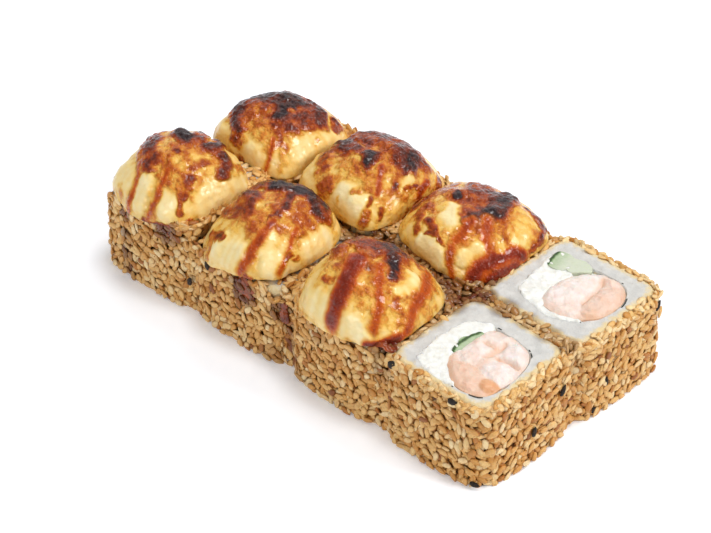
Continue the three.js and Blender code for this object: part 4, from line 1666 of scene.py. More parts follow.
CAPS = (
    CheeseCap(
        SLICES[0], at=(-49.7, -20.2), half=(15.5, 15.3), belly=26.0, rise=11.4,
        lean=(0.0, 0.8), flap=(265, 2.6),
        swells=(Swell(-5.5, 5.7, 1.2, 2.6), Swell(6.9, 9.4, 1.0, 3.0), Swell(-3.5, -4.6, 0.4, 3.5)),
        strokes=(
            Stroke(((-1.0, 1.0), (6.0, 1.5)), 17.0, 0.35),
            Stroke(((-2.0, -7.0), (5.0, -8.0), (12.0, -7.0)), 6.0, 0.4),
            Stroke(((-12.0, 2.0), (-9.0, -2.0), (-5.0, -6.5), (-3.0, -7.5)), 7.0, 0.66),
            Stroke(((-9.0, 0.0), (-5.5, -5.5)), 3.4, 0.76),
            Stroke(((-2.0, 10.0), (0.0, 7.0), (1.0, 4.0)), 6.0, 0.62),
            Stroke(((-3.2, 3.6), (-2.2, 3.2)), 5.4, 1.0, 0.3),
            Stroke(((3.0, 12.0), (5.2, 8.5), (5.6, 5.6)), 4.4, 0.84, 0.3),
            Stroke(((8.6, 6.6), (10.6, 6.2), (12.4, 3.6)), 4.4, 0.78, 0.3),
            Stroke(((8.2, 1.5), (8.0, -3.0)), 2.4, 0.58),
            Stroke(((11.0, 14.0), (12.2, 9.5)), 3.0, 0.5),
            Stroke(((0.2, -2.0), (1.6, -2.2)), 1.8, 0.62),
            Stroke(((2.0, -7.6), (3.0, -9.0)), 2.4, 0.46),
            Stroke(((9.4, -4.6), (9.8, -6.6)), 2.0, 0.62),
            Stroke(((-12.0, -12.0), (-8.6, -13.0)), 8.0, 0.08, 0.5),
            Stroke(((-0.5, -12.6), (0.2, -17.0)), 5.4, 0.06, 0.6),
            Stroke(((8.8, -12.8), (9.4, -14.0)), 6.4, 0.06, 0.6),
            Stroke(((17.0, -6.0), (18.5, 2.0), (17.0, 8.0)), 9.0, 0.12, 0.3),
            Stroke(((-5.2, -8.5), (-3.8, -12.0), (-3.0, -16.0), (-3.2, -20.6)), 3.2, 0.43, 0.35),
            Stroke(((3.4, -8.0), (4.6, -12.0), (5.3, -15.0), (5.0, -20.0)), 3.4, 0.43, 0.35),
            Stroke(((10.8, -7.0), (11.0, -10.6), (13.0, -11.8)), 2.2, 0.56, 0.1),
            Stroke(((12.7, -9.0), (12.9, -9.6)), 1.7, 0.16),
            Stroke(((-9.0, -15.0), (-8.4, -18.0)), 2.2, 0.28),
            Stroke(((2.0, -22.0), (9.0, -20.0), (14.0, -16.5), (17.0, -12.5)), 2.6, 0.7),
        ),
    ),
    CheeseCap(
        SLICES[1], at=(-18.8, -17.8), half=(14.9, 16.3), belly=24.0, rise=10.8,
        lean=(0.4, 1.6), flap=(240, 3.0),
        swells=(Swell(-8.9, -1.2, 0.8, 3.5), Swell(3.8, 10.7, 0.8, 4.0), Swell(-2.8, 6.8, 0.6, 3.5)),
        strokes=(
            Stroke(((-8.0, -3.0), (2.0, -3.0), (9.0, 0.0)), 15.0, 0.4),
            Stroke(((-12.0, 6.0), (-5.0, 5.5), (0.0, 7.5), (5.0, 9.0), (9.0, 8.5)), 8.5, 0.8),
            Stroke(((-11.0, 0.0), (-8.0, -2.0), (-4.5, -3.5)), 5.0, 0.74),
            Stroke(((-14.0, -5.5), (-9.0, -7.0), (-4.0, -6.5), (0.0, -8.5)), 3.6, 0.6, 0.2),
            Stroke(((-3.5, 3.5), (0.5, 7.0), (4.0, 9.5)), 4.2, 0.98, 0.2),
            Stroke(((6.5, 9.5), (7.0, 6.5)), 4.0, 0.9, 0.2),
            Stroke(((-1.2, -2.0), (-0.8, -3.4)), 3.6, 0.36),
            Stroke(((6.0, 3.6), (9.0, 1.4), (11.0, -2.0)), 4.0, 0.54, 0.2),
            Stroke(((0.0, -7.0), (3.0, -10.0)), 5.0, 0.42),
            Stroke(((9.0, -8.0), (8.6, -10.0)), 4.6, 0.14, 0.4),
            Stroke(((13.0, -12.0), (15.5, -11.0)), 7.0, 0.07, 0.6),
            Stroke(((16.5, 5.0), (17.0, -1.0)), 8.0, 0.1, 0.3),
            Stroke(((-4.0, -16.0), (2.0, -16.6)), 8.0, 0.06, 0.7),
            Stroke(((-9.0, -10.5), (-6.0, -10.8)), 3.0, 0.24),
            Stroke(((12.0, 11.0), (14.0, 13.0)), 5.0, 0.24),
            Stroke(((1.5, 4.0), (4.0, -1.0), (5.0, -5.0)), 2.8, 0.74, 0.2),
            Stroke(((5.0, -5.0), (5.5, -8.5), (6.0, -12.5)), 3.2, 0.58, 0.4),
            Stroke(((5.6, -9.0), (6.6, -13.4), (6.6, -18.6)), 5.2, 0.5, 0.4),
            Stroke(((10.5, -2.0), (13.0, -5.5), (14.8, -8.6), (15.6, -11.6)), 3.6, 0.44, 0.35),
            Stroke(((14.8, -6.8), (15.2, -8.0)), 1.7, 0.64, 0.1),
            Stroke(((16.2, -5.4), (16.6, -6.0)), 1.8, 0.44),
            Stroke(((-10.5, -12.0), (-7.0, -13.0), (-4.2, -13.6)), 2.0, 0.66),
            Stroke(((-9.2, -13.0), (-8.2, -18.0)), 3.0, 0.44),
            Stroke(((6.0, -21.0), (10.0, -18.5)), 2.6, 0.66, 0.2),
        ),
    ),
    CheeseCap(
        SLICES[2], at=(17.9, -19.2), half=(15.6, 15.8), belly=25.0, rise=12.0,
        lean=(-3.6, -1.2), flap=(255, 1.8),
        swells=(Swell(2.0, 4.6, 0.8, 3.2), Swell(-8.9, 0.6, 0.5, 3.0), Swell(9.7, -0.9, 0.7, 4.0)),
        strokes=(
            Stroke(((-6.0, -1.0), (4.0, 0.0), (12.0, 0.0)), 16.0, 0.38),
            Stroke(((-9.0, 5.0), (-2.0, 6.0), (3.0, 8.5)), 10.0, 0.68),
            Stroke(((-10.0, 0.5), (-5.0, -1.5)), 4.4, 0.62),
            Stroke(((-0.5, 3.0), (1.5, 2.0)), 5.0, 0.68),
            Stroke(((0.0, 9.0), (4.0, 6.5), (7.0, 3.0), (9.0, 0.5)), 3.6, 0.92, 0.3),
            Stroke(((6.6, 3.4), (7.4, 2.6)), 2.6, 1.02, 0.2),
            Stroke(((2.8, -0.4), (3.4, -1.6)), 2.8, 0.92, 0.3),
            Stroke(((5.5, 14.0), (8.0, 11.0)), 3.2, 0.75, 0.2),
            Stroke(((11.0, 6.0), (13.0, 3.0), (13.0, -1.0)), 4.0, 0.1, 0.6),
            Stroke(((-11.0, -7.0), (-9.5, -10.0)), 10.0, 0.2, 0.2),
            Stroke(((-7.0, -15.0), (-3.5, -16.0)), 8.0, 0.08, 0.6),
            Stroke(((7.0, -16.0), (11.0, -15.6)), 7.0, 0.05, 0.6),
            Stroke(((6.6, -8.4), (9.0, -11.0)), 4.6, 0.35),
            Stroke(((14.5, -3.0), (17.0, -6.0)), 5.0, 0.42),
            Stroke(((-3.0, -2.0), (-2.0, -3.6)), 4.0, 0.44),
            Stroke(((9.0, 12.5), (13.5, 7.5), (16.0, 3.0), (18.0, -2.0), (19.5, -6.5)), 5.0, 0.48, 0.4),
            Stroke(((1.0, -1.5), (2.2, -7.0), (2.2, -12.5), (1.2, -18.0)), 7.8, 0.66, 0.8),
            Stroke(((6.0, 1.0), (9.0, -4.0), (11.6, -8.0), (12.8, -12.5)), 4.6, 0.45, 0.35),
            Stroke(((-4.0, -9.0), (-1.6, -9.6)), 1.9, 0.55),
            Stroke(((14.0, -17.0), (17.0, -13.6), (19.2, -9.0)), 4.4, 0.72, 0.5),
            Stroke(((17.5, 7.5), (18.0, 5.0)), 3.0, 0.28),
        ),
    ),
    CheeseCap(
        SLICES[4], at=(-45.6, 12.3), half=(15.8, 15.5), belly=25.2, rise=9.9,
        lean=(0.0, 0.0), flap=(110, 1.0),
        swells=(Swell(8.4, 9.5, 0.8, 3.4), Swell(-9.4, -1.7, 0.8, 3.5), Swell(-2.3, 4.7, 0.8, 4.0)),
        strokes=(
            Stroke(((-4.0, 0.0), (4.0, 0.0)), 22.0, 0.5),
            Stroke(((-9.0, -2.0), (-4.0, 3.0), (3.0, 4.0), (6.0, 2.0)), 14.0, 0.7),
            Stroke(((-10.0, -2.0), (-7.0, 3.0), (-2.0, 4.5), (1.0, 3.0)), 8.0, 0.92),
            Stroke(((2.0, 9.5), (7.0, 7.4), (10.0, 5.0)), 4.6, 0.82),
            Stroke(((-7.0, -5.0), (-3.0, -5.6), (2.0, -5.0)), 6.6, 0.55),
            Stroke(((5.0, 5.0), (6.0, 3.6)), 4.6, 0.64),
            Stroke(((0.6, -1.0), (1.6, -2.4)), 4.8, 0.93),
            Stroke(((5.2, -3.0), (6.4, -4.2)), 2.8, 0.78),
            Stroke(((3.4, 0.6), (4.2, 0.4)), 2.4, 0.46),
            Stroke(((-9.0, -4.0), (-7.5, -8.0), (-5.0, -12.0)), 4.2, 0.84),
            Stroke(((-3.0, -5.0), (-3.4, -9.5)), 5.4, 0.5),
            Stroke(((-5.0, -14.0), (-1.0, -15.4)), 4.0, 0.5),
            Stroke(((5.2, -7.2), (6.4, -8.4)), 4.2, 0.58),
            Stroke(((9.2, -6.6), (10.2, -7.8)), 3.0, 0.42),
            Stroke(((2.0, -11.0), (5.0, -11.4)), 5.0, 0.32),
            Stroke(((2.0, -17.0), (5.0, -17.0)), 7.5, 0.08, 0.5),
            Stroke(((13.0, -5.0), (14.0, 0.0), (15.0, 6.0)), 8.0, 0.13, 0.4),
            Stroke(((13.4, 0.6), (14.0, -0.2)), 2.0, 0.3),
            Stroke(((10.6, 10.6), (12.8, 8.6)), 3.6, 0.68, 0.3),
            Stroke(((6.0, -8.5), (8.4, -13.0), (10.0, -18.6)), 3.0, 0.43, 0.35),
            Stroke(((-13.0, -10.0), (-11.0, -12.5)), 5.0, 0.16, 0.4),
            Stroke(((-5.0, -19.0), (-1.0, -20.0)), 3.0, 0.34),
        ),
    ),
    CheeseCap(
        SLICES[5], at=(-14.6, 13.5), half=(16.5, 16.5), belly=25.2, rise=10.7,
        lean=(1.6, 1.4), flap=(80, 1.2),
        swells=(Swell(0.4, -3.0, 0.8, 2.6), Swell(5.5, 5.7, 1.0, 3.4), Swell(-9.3, 9.1, 0.6, 4.0)),
        strokes=(
            Stroke(((-5.0, -2.0), (6.0, 0.0), (14.0, 2.0)), 20.0, 0.4),
            Stroke(((-9.0, 7.0), (0.0, 8.0), (6.0, 6.0)), 11.0, 0.74),
            Stroke(((-13.0, 1.0), (-9.0, -1.5), (-6.0, -3.0)), 5.4, 0.8),
            Stroke(((-1.0, 3.4), (0.0, 2.0)), 4.6, 0.56),
            Stroke(((-5.4, 3.4), (-4.6, 2.0)), 4.0, 0.66),
            Stroke(((3.0, 3.0), (7.0, 1.0)), 4.0, 0.72),
            Stroke(((7.0, 7.0), (9.0, 4.6), (9.6, 2.0)), 4.2, 0.93, 0.3),
            Stroke(((0.2, -2.4), (1.2, -5.2)), 4.6, 1.02, 0.3),
            Stroke(((-0.4, -6.8), (0.6, -7.4)), 2.2, 0.7),
            Stroke(((-3.0, -8.0), (0.0, -9.6)), 6.0, 0.34),
            Stroke(((3.0, -14.6), (8.0, -14.0)), 8.0, 0.05, 0.6),
            Stroke(((17.0, -7.0), (18.5, -4.5)), 5.0, 0.2, 0.3),
            Stroke(((12.2, 1.6), (12.6, -1.2)), 3.0, 0.2, 0.3),
            Stroke(((13.0, 13.0), (17.0, 11.0)), 3.2, 0.62),
            Stroke(((14.5, 7.2), (17.0, 3.6), (19.6, 1.4)), 3.6, 0.58, 0.4),
            Stroke(((19.4, 1.4), (19.9, 0.4)), 2.0, 0.7),
            Stroke(((15.0, 3.2), (13.6, -2.0)), 1.2, 0.6),
            Stroke(((11.0, -3.6), (11.6, -4.4)), 2.0, 0.68, 0.1),
            Stroke(((4.4, -3.0), (7.0, -6.0), (9.6, -8.6)), 3.0, 0.48, 0.35),
            Stroke(((7.0, -9.0), (5.0, -12.2)), 2.4, 0.42, 0.1),
            Stroke(((9.4, -10.6), (10.0, -11.4)), 2.0, 0.52),
            Stroke(((11.0, -13.0), (12.5, -17.0)), 3.0, 0.48, 0.3),
            Stroke(((14.0, -9.8), (14.6, -10.8)), 2.0, 0.5),
            Stroke(((-11.6, -5.0), (-10.0, -8.0), (-7.0, -12.0), (-3.0, -15.8)), 4.6, 0.5, 0.2),
            Stroke(((-11.0, -5.6), (-10.0, -7.0)), 2.4, 0.62),
            Stroke(((-14.0, -7.0), (-12.5, -11.0)), 4.0, 0.18, 0.3),
            Stroke(((2.1, -16.8), (2.7, -17.2)), 1.8, 0.34),
        ),
    ),
    CheeseCap(
        SLICES[6], at=(17.6, 17.1), half=(17.3, 16.3), belly=25.2, rise=9.2,
        lean=(0.3, -2.2), flap=(320, 1.2),
        swells=(
            Swell(-6.4, 0.5, 1.0, 3.0), Swell(5.8, 0.5, 0.9, 3.4), Swell(7.8, 8.4, 0.8, 3.4),
            Swell(0.5, -13.4, 0.8, 3.4),
        ),
        strokes=(
            Stroke(((-8.0, 0.0), (4.0, -1.0), (14.0, 0.0)), 21.0, 0.45),
            Stroke(((-5.0, 12.0), (-3.0, 7.0), (3.0, 10.0)), 8.0, 0.68),
            Stroke(((2.0, 13.0), (4.0, 8.5), (5.2, 4.0), (6.2, 0.0), (5.0, -2.0)), 5.4, 0.9, 0.2),
            Stroke(((5.4, 1.8), (6.6, -0.6)), 3.6, 1.0, 0.3),
            Stroke(((-5.0, 2.0), (-4.4, 1.4)), 2.8, 1.0, 0.3),
            Stroke(((-1.0, 2.8), (1.4, 1.6)), 3.0, 0.64),
            Stroke(((10.2, 2.4), (10.8, 0.0)), 3.0, 0.55, 0.2),
            Stroke(((3.4, -3.2), (4.2, -4.4)), 3.0, 0.8),
            Stroke(((7.0, -1.0), (9.0, -4.0), (11.0, -7.4)), 5.2, 0.47, 0.4),
            Stroke(((-14.0, 3.0), (-11.0, -3.0), (-8.0, -9.0), (-6.0, -13.6)), 3.0, 0.55, 0.2),
            Stroke(((-13.4, -5.4), (-12.6, -6.8)), 4.0, 0.62),
            Stroke(((-3.0, -3.6), (0.0, -7.0)), 6.4, 0.03, 0.5),
            Stroke(((-6.4, -2.4), (-5.6, -4.4)), 3.6, 0.27),
            Stroke(((-3.0, -17.0), (3.2, -17.4)), 6.6, 0.02, 0.8),
            Stroke(((8.4, -12.8), (10.0, -9.2)), 5.0, 0.12, 0.6),
            Stroke(((11.5, 7.0), (14.6, 4.0), (15.6, 1.0)), 6.2, 0.22, 0.3),
            Stroke(((-4.8, -9.8), (-2.6, -11.6), (-1.0, -13.0)), 2.6, 0.62, 0.3),
            Stroke(((-3.6, -13.8), (3.0, -13.4)), 1.7, 0.5, 0.1),
            Stroke(((4.2, -4.0), (4.8, -8.0), (4.6, -12.4)), 4.6, 0.48, 0.4),
            Stroke(((4.8, -12.6), (6.6, -16.0), (9.4, -18.8)), 4.0, 0.46, 0.4),
            Stroke(((8.0, 13.6), (13.0, 12.4)), 3.6, 0.72, 0.2),
            Stroke(((10.0, 11.4), (14.0, 11.0), (17.2, 7.6), (18.8, 3.0)), 1.8, 0.64, 0.2),
            Stroke(((18.4, 0.6), (15.8, -4.0), (14.2, -8.0), (12.6, -11.6), (13.4, -15.6)), 6.0, 0.68, 0.6),
            Stroke(((20.0, -3.0), (18.4, -7.0), (16.4, -12.0)), 5.2, 0.66, 0.4),
            Stroke(((12.8, -2.8), (13.4, -4.6)), 3.0, 0.42),
        ),
    ),
)


# The fillings

@dataclass(frozen=True)
class Lobe:
    """One fold of the shrimp: its middle, half widths, turn in degrees, height and how peach it is."""

    at: tuple[float, float]
    half: tuple[float, float]
    turn: float
    height: float
    peach: float

    def dome(self, plan: Array) -> Array:
        """Gives its height over places in plan, below zero outside it."""
        angle = math.radians(self.turn)
        away = plan - np.array(self.at)
        along = (away @ np.array([math.cos(angle), math.sin(angle)])) / self.half[0]
        across = (away @ np.array([-math.sin(angle), math.cos(angle)])) / self.half[1]
        return self.height * (1 - along**2 - across**2)


@dataclass
class Filling:
    """What runs down the middle of an open slice: nori, soft cheese, cucumber and shrimp.

    What shows is a range of directions in degrees. Each top is its height over the rice and its
    number of fine rings.
    """

    slice: Slice
    whole: Traced
    shrimp: Traced
    cucumber: Traced
    skin: tuple[tuple[float, float], ...]
    cheese_shows: tuple[float, float]
    lobes: tuple[Lobe, ...]
    folds: tuple[tuple[tuple[float, float], ...], ...]
    nori_shows: tuple[tuple[float, float], ...]
    cheese_top: tuple[float, int] = (0.1, 44)
    cucumber_top: tuple[float, int] = (0.55, 20)
    shrimp_top: tuple[float, int] = (0.3, 56)
    wall_steps: tuple[float, ...] = (0.5, 0.5, 1.0, 2.0)
    around: int = 192
    nori_rows: int = 10
    nori_thickness: float = 0.35
    nori_sunk: float = 1.3
    nori_rise: float = 1.45

    def pillar(self, form: Traced, up: float, rings: int) -> bmesh.types.BMesh:
        """Builds an upright pillar with a flat top of fine rings.

        Args:
            form: Its outline.
            up: How high its top stands over the rice.
            rings: How many rings its top has.

        Returns:
            The shape.
        """
        top = self.slice.top + up
        shape, inner, outer = new_ring(self.around, 0.02, rings)
        bmesh.ops.edgeloop_fill(shape, edges=inner)
        foot = sink(shape, outer, (*self.wall_steps, top - sum(self.wall_steps)))
        bmesh.ops.edgeloop_fill(shape, edges=foot)
        points = points_of(shape)
        angles = angles_of(points)
        radius = np.hypot(points[:, 0], points[:, 1]) * form.radius(angles)
        plan = form.middle + radius[:, None] * compass(angles)
        move_points(shape, np.column_stack([plan, points[:, 2] + top]))
        return shape

    def build(self, builder: Builder) -> None:
        """Builds the filling and dresses it.

        Args:
            builder: Makes the pieces and holds the finishes.
        """
        self.build_nori(builder)
        self.build_cheese(builder)
        self.build_cucumber(builder)
        self.build_shrimp(builder)

    def build_nori(self, builder: Builder) -> None:
        """Builds the ring of nori, which peeps out of the rice only here and there.

        Args:
            builder: Makes the piece and holds the finishes.
        """
        shape = bmesh.new()
        bmesh.ops.create_circle(shape, segments=self.around, radius=1.0, cap_ends=False)
        sink(shape, shape.edges[:], [1.0 / self.nori_rows] * self.nori_rows)
        points = points_of(shape)
        angles = angles_of(points)
        ways = compass(angles)
        circle = np.column_stack([ways, np.zeros(len(angles))])
        shown = np.zeros(len(angles))
        for low, high in self.nori_shows:
            half, off = (high - low) / 2, turned_from(angles, (low + high) / 2)
            shown = np.maximum(shown, 1 - smoothstep(half - 4.0, half + 2.0, off))
        top = self.slice.top - self.nori_sunk + self.nori_rise * shown
        top = top + 0.15 * rough(circle * 8.0, 1.6, 3.0)
        radius = self.whole.radius(angles) + 0.1 + 0.1 * rough(circle * 9.0, 2.0, 5.0)
        plan = self.whole.middle + radius[:, None] * ways
        move_points(shape, np.column_stack([plan, top * (1 + points[:, 2])]))
        bmesh.ops.solidify(shape, geom=shape.faces[:], thickness=self.nori_thickness)
        row = self.slice.row.value
        builder.piece(f"nori_sheet_{row}", shape, builder.larder.nori, [f"nori_{row}"])

    def build_cheese(self, builder: Builder) -> None:
        """Builds the soft cheese round the rest, with a torn top and edge.

        Args:
            builder: Makes the piece and holds the finishes.
        """
        shape = self.pillar(self.whole, *self.cheese_top)
        points = points_of(shape)
        top = points[:, 2] > self.slice.top
        torn = 0.4 * rough(points * [1.0, 1.6, 1.0], 2.6, 6.0, 2) + 0.1 * rough(points, 0.9, 8.0)
        ways = points[:, :2] - self.whole.middle
        reach = self.whole.share_out(points[:, :2])
        low, high = self.cheese_shows
        hidden = smoothstep(-2.0, 6.0, turned_from(angles_of(ways), (low + high) / 2) - (high - low) / 2)
        hidden = np.maximum(hidden, 1 - smoothstep(0.9, 1.0, self.shrimp.share_out(points[:, :2])))
        points[:, 2] += np.where(top, (0.25 + torn) * (1 - hidden) - 1.2 * hidden, 0.0)
        points[:, 2] -= np.where(top, 0.4 * smoothstep(0.95, 1.0, reach), 0.0)
        edge = 0.6 * rough(points * [1, 1, 0.3], 1.6, 11.0, 2) + 0.25
        outwards = smoothstep(0.75, 1.0, reach) * edge / np.maximum(np.linalg.norm(ways, axis=1), 0.01)
        points[:, :2] += outwards[:, None] * ways
        move_points(shape, points)
        row, finish = self.slice.row.value, builder.larder.white_cheese
        builder.piece(f"soft_cheese_{row}", shape, finish, [f"cream_cheese_{row}"])

    def build_cucumber(self, builder: Builder) -> None:
        """Builds the cucumber strip with its thin skin.

        Args:
            builder: Makes the piece and holds the finishes.
        """
        shape = self.pillar(self.cucumber, *self.cucumber_top)
        points = points_of(shape)
        to_skin = distance_to_run(points[:, :2], self.skin)
        skin = 1 - smoothstep(0.1, 0.9, to_skin) * 0.5 - 0.5 * smoothstep(0.9, 5.0, to_skin)
        points[:, 2] += np.where(points[:, 2] > self.slice.top, 0.12 * rough(points, 1.5, 2.0), 0.0)
        move_points(shape, points)
        row, finish = self.slice.row.value, builder.larder.cucumber
        builder.piece(f"cucumber_strip_{row}", shape, finish, [f"cucumber_{row}"], {"skin": skin})

    def build_shrimp(self, builder: Builder) -> None:
        """Builds the shrimp as folded lobes that meet in creases.

        Args:
            builder: Makes the piece and holds the finishes.
        """
        shape = self.pillar(self.shrimp, *self.shrimp_top)
        points = points_of(shape)
        plan = points[:, :2] + 0.35 * np.column_stack([rough(points, 2.2, 4.0), rough(points, 2.2, 14.0)])
        domes = np.array([lobe.dome(plan) for lobe in self.lobes])
        highest = np.max(domes, axis=0)
        pull = np.exp(9.0 * (domes - highest))
        peach = np.array([lobe.peach for lobe in self.lobes]) @ pull / pull.sum(axis=0)
        fold = np.max([bell(distance_to_run(plan, line), 0.7) for line in self.folds], axis=0)
        reach = self.shrimp.share_out(points[:, :2])
        height = 1.3 * np.maximum(highest, 0.1) + 0.3 * rough(points, 2.2, 3.0, 2)
        height = height - 0.6 * fold - 0.45 * smoothstep(0.85, 1.0, reach)
        points[:, 2] += np.where(points[:, 2] > self.slice.top, height, 0.0)
        peach = peach + 0.45 * fold + 0.2 * smoothstep(0.88, 1.0, reach) + 0.12 * rough(points, 3.5, 12.0)
        move_points(shape, points)
        row, marks = self.slice.row.value, {"peach": np.clip(peach, 0.0, 1.0)}
        builder.piece(f"shrimp_meat_{row}", shape, builder.larder.shrimp, [f"shrimp_{row}"], marks)


FILLINGS = (
    Filling(
        SLICES[3],
        whole=Traced((
            (45.0, -6.4), (50.0, -6.3), (55.0, -6.4), (59.0, -7.8), (61.0, -10.5), (62.2, -14.5),
            (62.6, -18.5), (62.4, -24.0), (61.5, -27.6), (57.5, -29.0), (53.0, -29.0), (48.0, -29.6),
            (43.0, -28.8), (40.2, -27.0), (39.2, -22.0), (39.2, -15.0), (39.6, -9.5), (41.2, -7.2),
        )),
        shrimp=Traced((
            (45.8, -7.4), (50.0, -6.5), (55.0, -6.6), (58.9, -8.1), (60.8, -10.6), (61.8, -14.2),
            (62.4, -17.0), (62.5, -19.5), (62.0, -22.0), (62.2, -24.4), (61.3, -27.4), (57.2, -28.9),
            (53.0, -28.6), (49.0, -25.8), (46.0, -23.0), (45.0, -20.0), (45.4, -16.5), (45.8, -12.0),
        )),
        cucumber=Traced((
            (45.0, -10.0), (46.6, -10.2), (46.9, -13.0), (46.4, -16.0), (45.7, -19.0), (45.1, -20.6),
            (44.5, -19.6), (44.1, -17.0), (44.2, -13.4), (44.5, -11.4),
        )),
        skin=((45.2, -10.4), (44.4, -13.0), (44.2, -17.0), (45.0, -20.4)),
        cheese_shows=(112.0, 282.0),
        lobes=(
            Lobe((57.2, -10.6), (4.8, 3.7), -20.0, 0.9, 0.02),
            Lobe((58.0, -18.4), (4.8, 4.2), 10.0, 1.0, 0.04),
            Lobe((49.6, -15.0), (4.6, 7.6), 8.0, 0.8, 0.12), Lobe((51.2, -8.6), (5.0, 2.7), 0.0, 0.6, 0.2),
            Lobe((53.4, -24.6), (7.8, 4.2), -8.0, 0.9, 0.55), Lobe((59.4, -24.0), (2.6, 2.6), 0.0, 1.0, 1.0),
            Lobe((53.6, -17.6), (2.4, 3.4), 0.0, 0.6, 0.3),
        ),
        folds=(
            ((49.0, -12.5), (53.0, -13.0), (52.5, -16.5)), ((54.8, -14.6), (60.5, -14.0)),
            ((53.0, -13.0), (52.6, -9.6)),
        ),
        nori_shows=((95.0, 112.0), (35.0, 62.0), (5.0, 16.0), (278.0, 288.0), (300.0, 322.0)),
    ),
    Filling(
        SLICES[7],
        whole=Traced((
            (38.0, 27.2), (42.0, 27.6), (48.0, 27.8), (53.0, 28.2), (57.5, 28.2), (60.4, 26.6),
            (62.6, 22.5), (63.0, 18.0), (62.4, 14.0), (60.4, 11.0), (57.6, 8.4), (54.0, 6.4), (51.0, 6.0),
            (47.0, 7.2), (42.2, 7.8), (39.8, 10.5), (38.8, 14.0), (38.4, 20.0), (37.4, 24.5),
        )),
        shrimp=Traced((
            (50.0, 26.6), (53.2, 28.0), (57.3, 28.0), (60.2, 26.3), (62.4, 22.4), (62.8, 18.0),
            (62.2, 14.2), (60.2, 11.4), (57.0, 9.2), (53.0, 7.8), (49.0, 8.2), (46.4, 11.0), (45.6, 15.0),
            (45.8, 19.0), (47.4, 23.4),
        )),
        cucumber=Traced((
            (37.9, 26.9), (43.0, 27.3), (48.8, 27.2), (49.4, 26.2), (47.0, 24.4), (44.0, 22.8),
            (40.0, 21.0), (38.8, 21.4), (38.2, 24.0),
        )),
        skin=((38.0, 26.9), (38.4, 24.4), (39.2, 21.4)),
        cheese_shows=(128.0, 322.0),
        lobes=(
            Lobe((50.6, 17.0), (5.4, 9.6), -8.0, 1.0, 0.0), Lobe((59.2, 19.0), (4.2, 8.0), 0.0, 0.9, 0.5),
            Lobe((55.2, 26.0), (3.2, 2.2), 10.0, 0.7, 0.25), Lobe((53.0, 10.2), (5.6, 3.2), 20.0, 0.7, 0.2),
            Lobe((59.8, 13.6), (3.0, 2.2), 30.0, 0.8, 0.6),
        ),
        folds=(((53.6, 26.0), (55.0, 22.0), (55.6, 15.5)),),
        nori_shows=((52.0, 62.0), (12.0, 40.0), (318.0, 326.0), (90.0, 96.0)),
    ),
)


# Sauce on the walls

@dataclass(frozen=True)
class SaucePool:
    """Thick sauce that lies on the seeds of a front wall: its middle, width, height and depth."""

    name: str
    at: tuple[float, float, float]
    wide: float
    high: float
    deep: float = 0.5
    ragged: tuple[float, float, float] = (1.5, 0.3, 1.5)
    around: int = 56
    upward: int = 40

    def build(self, builder: Builder) -> None:
        """Builds the pool and dresses it.

        Args:
            builder: Makes the piece and holds the finishes.
        """
        shape = new_ball(self.around, self.upward)
        points = points_of(shape) * [self.wide / 2, self.deep, self.high / 2] + np.array(self.at)
        noises = (rough(points, 2.4, 2.0, 2), rough(points, 1.6, 4.0), rough(points, 2.4, 6.0, 2))
        move_points(shape, points + np.column_stack(noises) * self.ragged)
        builder.piece(self.name, shape, builder.larder.sauce)


POOLS = (
    SaucePool("sauce_film_front_1", (-42.0, -32.6, 22.8), 11.0, 5.8, 0.5),
    SaucePool("sauce_streak_front_1", (-56.8, -32.8, 18.5), 2.0, 9.5, 0.4),
    SaucePool("sauce_streak_low_front_1", (-56.2, -33.1, 7.0), 1.8, 12.5, 0.4),
    SaucePool("sauce_patch_front_2", (-14.0, -32.4, 17.8), 7.6, 6.6, 0.5),
    SaucePool("sauce_gap_front_2", (-0.6, -31.4, 16.5), 2.6, 5.6, 0.8),
    SaucePool("sauce_pool_front_3", (30.6, -29.4, 24.4), 7.6, 1.7, 2.8),
)


# The picture

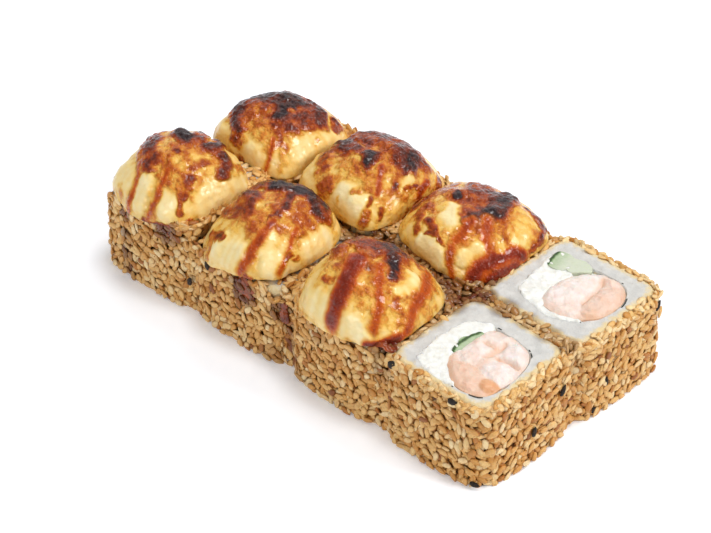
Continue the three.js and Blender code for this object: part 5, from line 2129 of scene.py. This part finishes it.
@dataclass
class Studio:
    """A white floor, soft light from the upper right, and the camera at the photo's angle.

    The eye is the camera's place in the rows' frame, and back points from the object to it. Each
    lamp has a name, a place, a side and a power, in metres and watts.
    """

    lens: float = 138.8
    sensor: float = 36.0
    eye: tuple[float, float, float] = (377.8, -398.0, 443.0)
    back: tuple[float, float, float] = (0.5474, -0.5668, 0.6157)
    floor_size: float = 6.0
    daylight: float = 0.3
    lamps: tuple[tuple[str, tuple[float, float, float], float, float], ...] = (
        ("key", (0.8, 0.4, 0.7), 0.32, 5.8), ("overhead", (0.1, 0.1, 1.1), 0.3, 5.6),
        ("front", (0.1, -1.1, 0.7), 0.4, 3.6), ("behind", (-0.8, 0.85, 0.6), 1.2, 3.0),
    )

    def build(self, larder: Larder, shift: Array) -> None:
        """Sets up the floor, the lights and the camera.

        Args:
            larder: Holds the finishes.
            shift: From the rows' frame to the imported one, in millimetres.
        """
        scene = bpy.context.scene
        shape = bmesh.new()
        bmesh.ops.create_grid(shape, x_segments=2, y_segments=2, size=self.floor_size / 2)
        mesh = bpy.data.meshes.new("floor")
        shape.to_mesh(mesh)
        shape.free()
        mesh.materials.append(larder.floor)
        floor = bpy.data.objects.new("floor", mesh)
        scene.collection.objects.link(floor)
        world = bpy.data.worlds.new("studio")
        world.use_nodes = True
        background = world.node_tree.nodes["Background"]
        background.inputs["Color"].default_value = (1.0, 1.0, 1.0, 1.0)
        background.inputs["Strength"].default_value = self.daylight
        scene.world = world
        for name, at, size, power in self.lamps:
            self.lamp(name, at, size, power)
        data = bpy.data.cameras.new("camera")
        data.lens = self.lens
        data.sensor_width = self.sensor
        data.clip_end = 20.0
        camera = bpy.data.objects.new("camera", data)
        camera.location = Vector(np.array(self.eye) + shift) * MM
        camera.rotation_euler = (-Vector(self.back)).to_track_quat("-Z", "Y").to_euler()
        scene.collection.objects.link(camera)
        scene.camera = camera
        scene.view_settings.view_transform = "Standard"
        scene.cycles.use_denoising = True

    @staticmethod
    def lamp(name: str, at: tuple[float, float, float], size: float, power: float) -> None:
        """Hangs a soft square lamp that faces the object.

        Args:
            name: The lamp's name.
            at: Its place in metres.
            size: The length of its side in metres.
            power: Its power in watts.
        """
        data = bpy.data.lights.new(name, "AREA")
        data.size = size
        data.energy = power
        lamp = bpy.data.objects.new(name, data)
        lamp.location = at
        lamp.rotation_euler = (-Vector(at)).to_track_quat("-Z", "Y").to_euler()
        bpy.context.scene.collection.objects.link(lamp)


def covered_by_caps(place: Array) -> bool:
    """Tells whether any cap hides a place on the slices."""
    return any(cap.covers(place) for cap in CAPS)


def main() -> None:
    """Builds the roll and the picture."""
    logging.basicConfig(level=logging.INFO, format="%(name)s %(message)s")
    builder = Builder(row_shift(), Larder.stocked())
    holes = {filling.slice.name: filling.whole for filling in FILLINGS}
    for each in SLICES:
        RiceBlock(each, holes.get(each.name)).build(builder)
        SesameCoat(each, covered_by_caps).build(builder)
    for part in (*CAPS, *FILLINGS, *POOLS, SeamSeeds(), DarkSeeds()):
        part.build(builder)
    Studio().build(builder.larder, builder.shift)
    LOG.info("%d pieces", len(builder.made))


if __name__ == "__main__":
    main()
